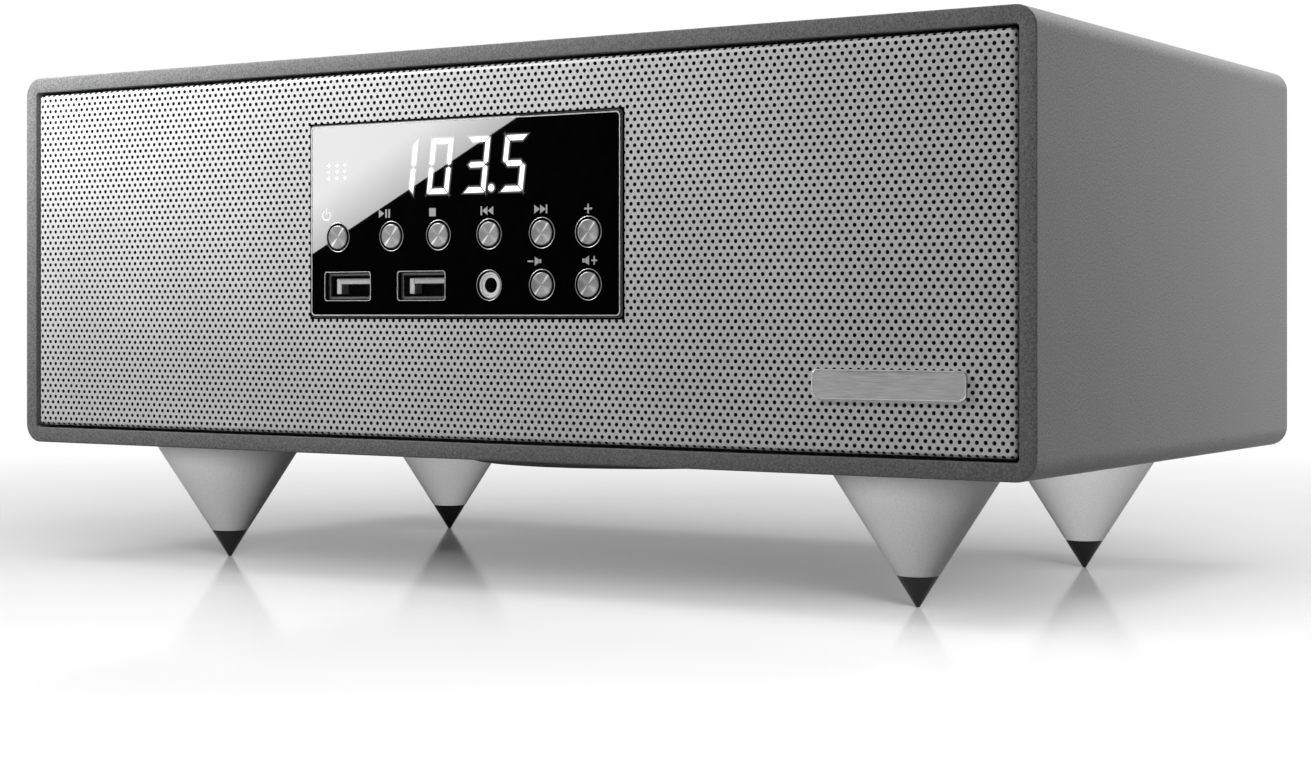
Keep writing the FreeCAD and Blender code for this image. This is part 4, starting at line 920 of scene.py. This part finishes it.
def solidsOf(node):
    # the box of each separate solid in a CAD node
    bm = mergedCopy(node)
    found, seen = [], set()
    for first in bm.verts:
        if first in seen:
            continue
        seen.add(first)
        group, queue = [], [first]
        while queue:
            vert = queue.pop()
            group.append(vert.co.copy())
            for edge in vert.link_edges:
                other = edge.other_vert(vert)
                if other not in seen:
                    seen.add(other)
                    queue.append(other)
        low, high = (Vector(pick(p[k] for p in group) for k in range(3)) for pick in (min, max))
        found.append({"low": low, "high": high, "mid": (low + high) / 2, "radius": (high.x - low.x) / 2})
    bm.free()
    return found


def softened(name, node, width, material, body, slot, segments=2):
    # the CAD node's own shape with its sharp edges rounded
    bm = mergedCopy(node)
    bmesh.ops.dissolve_limit(bm, angle_limit=math.radians(1), verts=bm.verts[:], edges=bm.edges[:])
    sharp = [e for e in bm.edges if len(e.link_faces) == 2 and e.calc_face_angle(0) > math.radians(40)]
    bmesh.ops.bevel(bm, geom=sharp, offset=width, segments=segments, profile=0.5, affect="EDGES",
                    clamp_overlap=True)
    settle(objectFrom(name, bm, [material]), body, slot, node)


def screwTree():
    # a tapered head with a cross cut in it, turned to face along the piece's own way
    look = {"sides": 32, "topShare": 0.72}
    tree, wanted, given = startTree("crossHeadScrews", "Screws", {
        "Places": "Geometry", "Head radius": "Float", "Head height": "Float", "Slot width": "Float",
        "Slot length": "Float", "Facing": "Vector", "Turn seed": "Int", "Finish": "Material"})
    radius, height = given["Head radius"], given["Head height"]
    head = addNode(tree, "GeometryNodeMeshCone", {
        "Vertices": look["sides"], "Side Segments": 1, "Radius Bottom": radius, "Depth": height,
        "Radius Top": calc(tree, "MULTIPLY", radius, look["topShare"])})
    carve = addNode(tree, "GeometryNodeMeshBoolean", {0: head.outputs["Mesh"]}, operation="DIFFERENCE")
    for quarter in (0, 1):
        bar = addNode(tree, "GeometryNodeMeshCube", {
            "Size": vectorOf(tree, given["Slot length"], given["Slot width"], height)})
        place = addNode(tree, "GeometryNodeTransform", {
            "Geometry": bar.outputs["Mesh"], "Translation": vectorOf(tree, 0, 0, height),
            "Rotation": (0, 0, quarter * math.pi / 2)})
        feed(tree, carve, {1: place.outputs["Geometry"]})
    spin = addNode(tree, "FunctionNodeRandomValue", {3: math.pi, "Seed": given["Turn seed"]},
                   data_type="FLOAT")
    facing = addNode(tree, "FunctionNodeRotateEuler", {"Rotation": vectorOf(tree, 0, 0, spin.outputs[1]),
                                                       "Rotate By": given["Facing"]})
    spots, real = setOut(tree, given["Places"], carve.outputs["Mesh"])
    feed(tree, spots, {"Rotation": facing.outputs[0]})
    endTree(tree, real, given["Finish"])
    return tree, wanted


def makeRearScrews():
    look = {"headHeight": 1.05 * mm, "slotWidth": 0.55 * mm, "slotLength": 2.4 * mm, "seed": 7}
    solids = solidsOf("rear_screws")
    # the head stands with its foot on the panel
    middle = boxOf("rear_panel")["high"].y + look["headHeight"] / 2
    setAt("rear_screw_heads", [(s["mid"].x, middle, s["mid"].z) for s in solids], *screwTree(),
          {"Head radius": solids[0]["radius"], "Head height": look["headHeight"],
           "Slot width": look["slotWidth"], "Slot length": look["slotLength"], "Facing": (-math.pi / 2, 0, 0),
           "Turn seed": look["seed"], "Finish": steelScrew}, "screw_steel", "rear_screws")


def makePort():
    look = {"wall": 1.6 * mm, "bore": 16.0 * mm, "mouth": 1.65 * mm, "edge": 0.6 * mm}
    box = boxOf("bass_port")
    panelFace = boxOf("rear_panel")["high"].y
    outer, inner = box["high"].y, box["low"].y
    bore, edge, mouth = look["bore"], look["edge"], look["mouth"]
    tube, flange = bore + look["wall"], box["half"][0]
    profile = [(tube, inner), (tube, panelFace), (flange, panelFace)]
    profile += arc(flange - edge, outer - edge, edge, 0, 90)
    profile += arc(bore + mouth, outer - mouth, mouth, 90, 180, 6) + [(bore, inner)]
    bm = turn(bmesh.new(), profile, (box["mid"].x, box["mid"].z), "Y", 96, closed=True)
    onCabinet("bass_port_moulding", bm, [blackPlastic], "black_plastic", "bass_port")


def makeAerial():
    look = {"barrel": 4.75 * mm, "wall": 0.7 * mm, "edge": 0.3 * mm, "flange": 1.5 * mm, "stubShare": 0.7,
            "threadStart": 1.0 * mm, "threadEnd": 1.2 * mm, "thread": 0.18 * mm, "threadPitch": 0.75 * mm,
            "boreEdge": 0.1 * mm}
    plug = {"gap": 0.05 * mm, "rim": 0.8 * mm, "height": 1.2 * mm, "neck": 1.6}
    box = boxOf("aerial_socket")
    panelFace = boxOf("rear_panel")["high"].y
    centre, start, end = (box["mid"].x, box["mid"].z), box["low"].y, box["high"].y
    solids = sorted(solidsOf("aerial_socket"), key=lambda s: s["radius"])
    pin, flange = solids[0], solids[-1]["radius"]
    barrel, edge = look["barrel"], look["edge"]
    face, bore = panelFace + look["flange"], barrel - look["wall"]
    stub, boreEdge = bore * look["stubShare"], look["boreEdge"]
    profile = [(0, start), (stub, start), (stub, panelFace), (flange, panelFace)]
    profile += arc(flange - edge, face - edge, edge, 0, 90, 3) + [(barrel, face)]
    place = face + look["threadStart"]
    while place + look["threadPitch"] < end - look["threadEnd"]:
        profile += [(barrel, place), (barrel - look["thread"], place + look["threadPitch"] / 2)]
        place += look["threadPitch"]
    profile += [(barrel, place), (barrel, end - edge), (barrel - edge, end), (bore + boreEdge, end),
                (bore, end - boreEdge), (bore, face), (0, face)]
    barrelShape = turn(bmesh.new(), profile, centre, "Y", 64)
    onCabinet("aerial_barrel", barrelShape, [plated], "plated_metal", "aerial_socket")
    radius, rim, top = pin["radius"], bore - plug["gap"], face + plug["height"]
    profile = [(0, face), (rim, face), (rim, face + plug["rim"]), (radius * plug["neck"], top), (radius, top),
               (0, top)]
    onCabinet("aerial_insulator", turn(bmesh.new(), profile, centre), [blackPlastic], "black_plastic")
    tip = pin["high"].y - radius
    profile = [(0, face), (radius, face)] + arc(0, tip, radius, 0, 90, 5)
    onCabinet("aerial_pin", turn(bmesh.new(), profile, centre, "Y", 32), [plated], "plated_metal")


makeRearScrews()
makePort()
makeAerial()
softened("mains_inlet_moulding", "mains_inlet", 0.25 * mm, blackPlastic, "cabinet", "black_plastic")
softened("switch_bezel", "switch_frame", 0.3 * mm, blackPlastic, "cabinet", "black_plastic")
softened("rocker_paddle", "power_rocker", 0.4 * mm, rockerGloss, "power_rocker", "black_plastic", 3)
softened("woofer_cover_painted", "woofer_cover", 0.2 * mm, coverPaint, "cabinet", "speaker_steel")
print("rear and woofer cover made")


def makeSuspensions():
    # heights are millimetres in front of each speaker's mounting plane, which lies behind its flange
    look = {"flange": 2.0, "sheet": 0.4, "land": 1.5, "folds": (0, 0.28, 0.33, 0.61, 0.66, 0.94, 1),
            "rollSteps": 8}
    small = {"seat": 0.2, "cone": 24.4, "rollEnd": 28.8, "outer": 30.5, "shelf": -14.0, "spiderOuter": 23.5,
             "flatEnd": 20.2, "inside": 8.35, "rise": 2.2}
    large = {"seat": -1.0, "cone": 33.0, "rollEnd": 37.2, "outer": 39.3, "shelf": -22.0, "spiderOuter": 29.3,
             "flatEnd": 25.7, "inside": 12.85, "rise": 4.0}
    sheet, folds, rollSteps = look["sheet"], look["folds"], look["rollSteps"]
    for speaker, size, along in (("left_speaker", small, "Y"), ("right_speaker", small, "Y"),
                                 ("woofer", large, "Z")):
        box, moving = boxOf(speaker + "_frame"), speaker + "_moving"
        axis = "XYZ".index(along)
        plane = box["low"][axis] + look["flange"] * mm
        centre = (box["mid"].x, box["mid"].z if along == "Y" else box["mid"].y)

        def at(height):
            spot = box["mid"].copy()
            spot[axis] = plane - height * mm
            return tuple(spot)

        def ring(name, outline, material):
            profile = [(r * mm, plane - h * mm) for r, h in outline]
            bm = turn(bmesh.new(), profile, centre, along, 96, closed=True)
            return objectFrom(speaker + name, bm, [material])

        def halfRoll(edge, side):
            # one half of the roll, from its glued edge up to the crown and back
            return ([(edge, seat)] + arc(crown, seat, rise, side, 90, rollSteps)
                    + arc(crown, top, rise, 90, side, rollSteps) + [(edge, top)])

        seat, top = size["seat"], size["seat"] + sheet
        crown, rise = (size["cone"] + size["rollEnd"]) / 2, (size["rollEnd"] - size["cone"]) / 2
        half = top + 2 * (rise - sheet / 2)
        piece = ring("_surround_outer", halfRoll(size["outer"], 0), surroundRubber)
        at(top)
        at(half)
        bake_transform(piece)
        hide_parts(speaker + "_suspension")
        piece = ring("_surround_inner", halfRoll(size["cone"] - look["land"], 180), surroundRubber)
        at(top)
        at(half)
        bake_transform(piece)
        # the spider climbs in steps from its shelf to the neck
        shelf, step = size["shelf"], (size["flatEnd"] - size["inside"]) / (len(folds) - 1)
        lower = [(size["spiderOuter"], shelf)]
        lower += [(size["flatEnd"] - k * step, shelf + size["rise"] * share) for k, share in enumerate(folds)]
        piece = ring("_spider", lower + [(r, h + sheet) for r, h in reversed(lower)], spiderCloth)
        at(shelf + sheet)
        at(shelf + size["rise"])
        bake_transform(piece)


makeSuspensions()
print("suspensions made")


def seenDirectly(tree):
    # 1 for camera, glossy and transmission rays, and 0 for light that bounces
    path = tree.nodes.new("ShaderNodeLightPath")
    seen = calc(tree, "ADD", path.outputs["Is Camera Ray"], path.outputs["Is Glossy Ray"])
    return calc(tree, "ADD", seen, path.outputs["Is Transmission Ray"], clamp=True)


def eitherOf(tree, factor, a, b):
    return addNode(tree, "ShaderNodeMixShader", {0: factor, 1: a, 2: b}).outputs[0]


def plainEmitter(name, value, strength):
    material = bpy.data.materials.new(name)
    material.use_nodes = True
    tree = material.node_tree
    tree.nodes.clear()
    light = addNode(tree, "ShaderNodeEmission", {"Color": grey(value), "Strength": strength})
    addNode(tree, "ShaderNodeOutputMaterial", {0: light.outputs[0]})
    return material, tree, light


def stageCard(name, outline, y, material):
    mesh = bpy.data.meshes.new(name)
    mesh.from_pydata([(x, y, z) for x, z in outline], [], [list(range(len(outline)))])
    mesh.materials.append(material)
    card = linked(name, mesh)
    for way in ("camera", "diffuse", "transmission", "shadow", "volume_scatter"):
        setattr(card, "visible_" + way, False)  # only gloss shows it


def makeFloor():
    look = {"half": 12.0, "value": 0.92, "bounceValue": 0.12, "rough": 0.1, "specular": 0.005,
            "fade": (0.22, 0.55)}
    corners = [(x * look["half"], y * look["half"], 0) for x, y in ((-1, -1), (1, -1), (1, 1), (-1, 1))]
    mesh = bpy.data.meshes.new("floor")
    mesh.from_pydata(corners, [], [(0, 1, 2, 3)])
    floor = linked("floor", mesh)
    material, tree, shader = newMaterial("paleFloor")
    seen = seenDirectly(tree)
    # the floor looks pale and bounces less, so the object keeps its own shading
    feed(tree, shader, {"Base Color": mixed(tree, seen, grey(look["bounceValue"]), grey(look["value"])),
                        "Roughness": look["rough"], "Specular IOR Level": look["specular"]})
    # away from the object it meets the white background
    place = tree.nodes.new("ShaderNodeTexCoord").outputs["Object"]
    far = addNode(tree, "ShaderNodeVectorMath", {0: place}, operation="LENGTH").outputs["Value"]
    white = addNode(tree, "ShaderNodeEmission", {"Color": grey(1.0), "Strength": 1.0})
    share = calc(tree, "MULTIPLY", spread(tree, far, 0, 1, *look["fade"]), seen)
    feed(tree, tree.nodes["Material Output"], {0: eitherOf(tree, share, shader.outputs[0], white.outputs[0])})
    mesh.materials.append(material)


def makeCards():
    # what the gloss pane mirrors: a dark flag, and a bright card with a sloping edge that dims towards it
    flag = {"y": -0.984, "outline": [(-1.5, -0.3), (0.1, -0.3), (0.1, 0.6), (-1.5, 0.6)]}
    card = {"y": -0.974, "strength": 18.0, "dim": 0.62, "dimWidth": 0.035, "across": (-0.446, 0, 0.895),
            "outline": [(-0.8755, 0.0817), (-0.6225, 0.2077), (-0.59, 0.2239), (-0.59, 0.26),
                        (-0.8755, 0.26)]}
    stageCard("dark_flag", flag["outline"], flag["y"], plainEmitter("flagBlack", 0.0, 0.0)[0])
    material, tree, light = plainEmitter("cardWhite", 1.0, card["strength"])
    place = tree.nodes.new("ShaderNodeTexCoord").outputs["Object"]
    away = addNode(tree, "ShaderNodeVectorMath", {0: place, 1: card["across"]}, operation="DOT_PRODUCT")
    x, z = card["outline"][0]
    edge = card["across"][0] * x + card["across"][2] * z
    share = spread(tree, away.outputs["Value"], card["dim"], 1.0, edge, edge + card["dimWidth"])
    feed(tree, light, {"Color": mixed(tree, share, grey(0.0), grey(1.0))})
    stageCard("bright_card", card["outline"], card["y"], material)


def makeLights():
    frontCones, rearCones = ([n + "_cone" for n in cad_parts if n.startswith("foot_" + end)]
                             for end in ("front", "rear"))
    # a lamp with "only" is kept to those pieces, and one with "skips" is kept off them
    look = {
        "key": {"place": (-0.27, -0.25, 0.28), "aim": (-0.24, -0.08, 0.37), "size": 0.16, "power": 3.4,
                "skips": ["floor"]},
        "side": {"place": (0.6, 0.5, 0.5), "aim": (0.15, 0.05, 0.08), "size": 0.4, "power": 3.6,
                 "mirrored": False, "skips": ["floor"]},
        "backTop": {"place": (0.5, 1.1, 1.5), "aim": (0.0, 0.0, 0.05), "size": 1.6, "power": 18.0,
                    "skips": ["floor"]},
        "top": {"place": (0.0, 0.1, 1.9), "aim": (0.0, 0.0, 0.0), "size": 2.4, "power": 8.0},
        "frontFeet": {"place": (0.06, -0.72, 0.10), "aim": (0.0, -0.05, 0.02), "size": 0.3, "power": 4.1,
                      "only": frontCones},
        "rearFeet": {"place": (0.42, -0.86, 0.035), "aim": (0.0, 0.05, 0.02), "size": 0.08, "power": 8.4,
                     "only": rearCones},
        "floorTop": {"place": (0.25, -0.4, 1.0), "aim": (0.05, 0.0, 0.0), "size": 1.4, "power": 7.8,
                     "only": ["floor"]},
        "floorFront": {"place": (0.75, -0.7, 0.26), "aim": (0.05, 0.0, 0.0), "size": 0.6, "power": 13.0,
                       "only": ["floor"]},
    }
    for name, lamp in look.items():
        data = bpy.data.lights.new(name, "AREA")
        data.shape = "SQUARE"
        data.size = lamp["size"]
        data.energy = lamp["power"]
        light = linked(name, data)
        light.location = lamp["place"]
        way = Vector(lamp["aim"]) - Vector(lamp["place"])
        light.rotation_euler = way.to_track_quat("-Z", "Y").to_euler()
        light.visible_camera = False
        light.visible_glossy = lamp.get("mirrored", True)
        if "only" in lamp or "skips" in lamp:
            group = bpy.data.collections.new(name + "Lit")
            for title in lamp.get("only", lamp.get("skips")):
                group.objects.link(bpy.data.objects[title])
            if "skips" in lamp:
                for entry in group.collection_objects:
                    entry.light_linking.link_state = "EXCLUDE"
            light.light_linking.receiver_collection = group


def makeWorld():
    look = {"ambient": 0.18, "seen": 1.0}
    world = bpy.data.worlds.new("studio")
    scene.world = world
    world.use_nodes = True
    tree = world.node_tree
    tree.nodes.clear()
    room, backdrop = (
        addNode(tree, "ShaderNodeBackground", {"Color": grey(1.0), "Strength": look[part]}).outputs[0]
        for part in ("ambient", "seen"))
    addNode(tree, "ShaderNodeOutputWorld", {0: eitherOf(tree, seenDirectly(tree), room, backdrop)})


makeFloor()
makeCards()
makeLights()
makeWorld()
scene.view_settings.view_transform = "Standard"
print("stage, lights and world made")
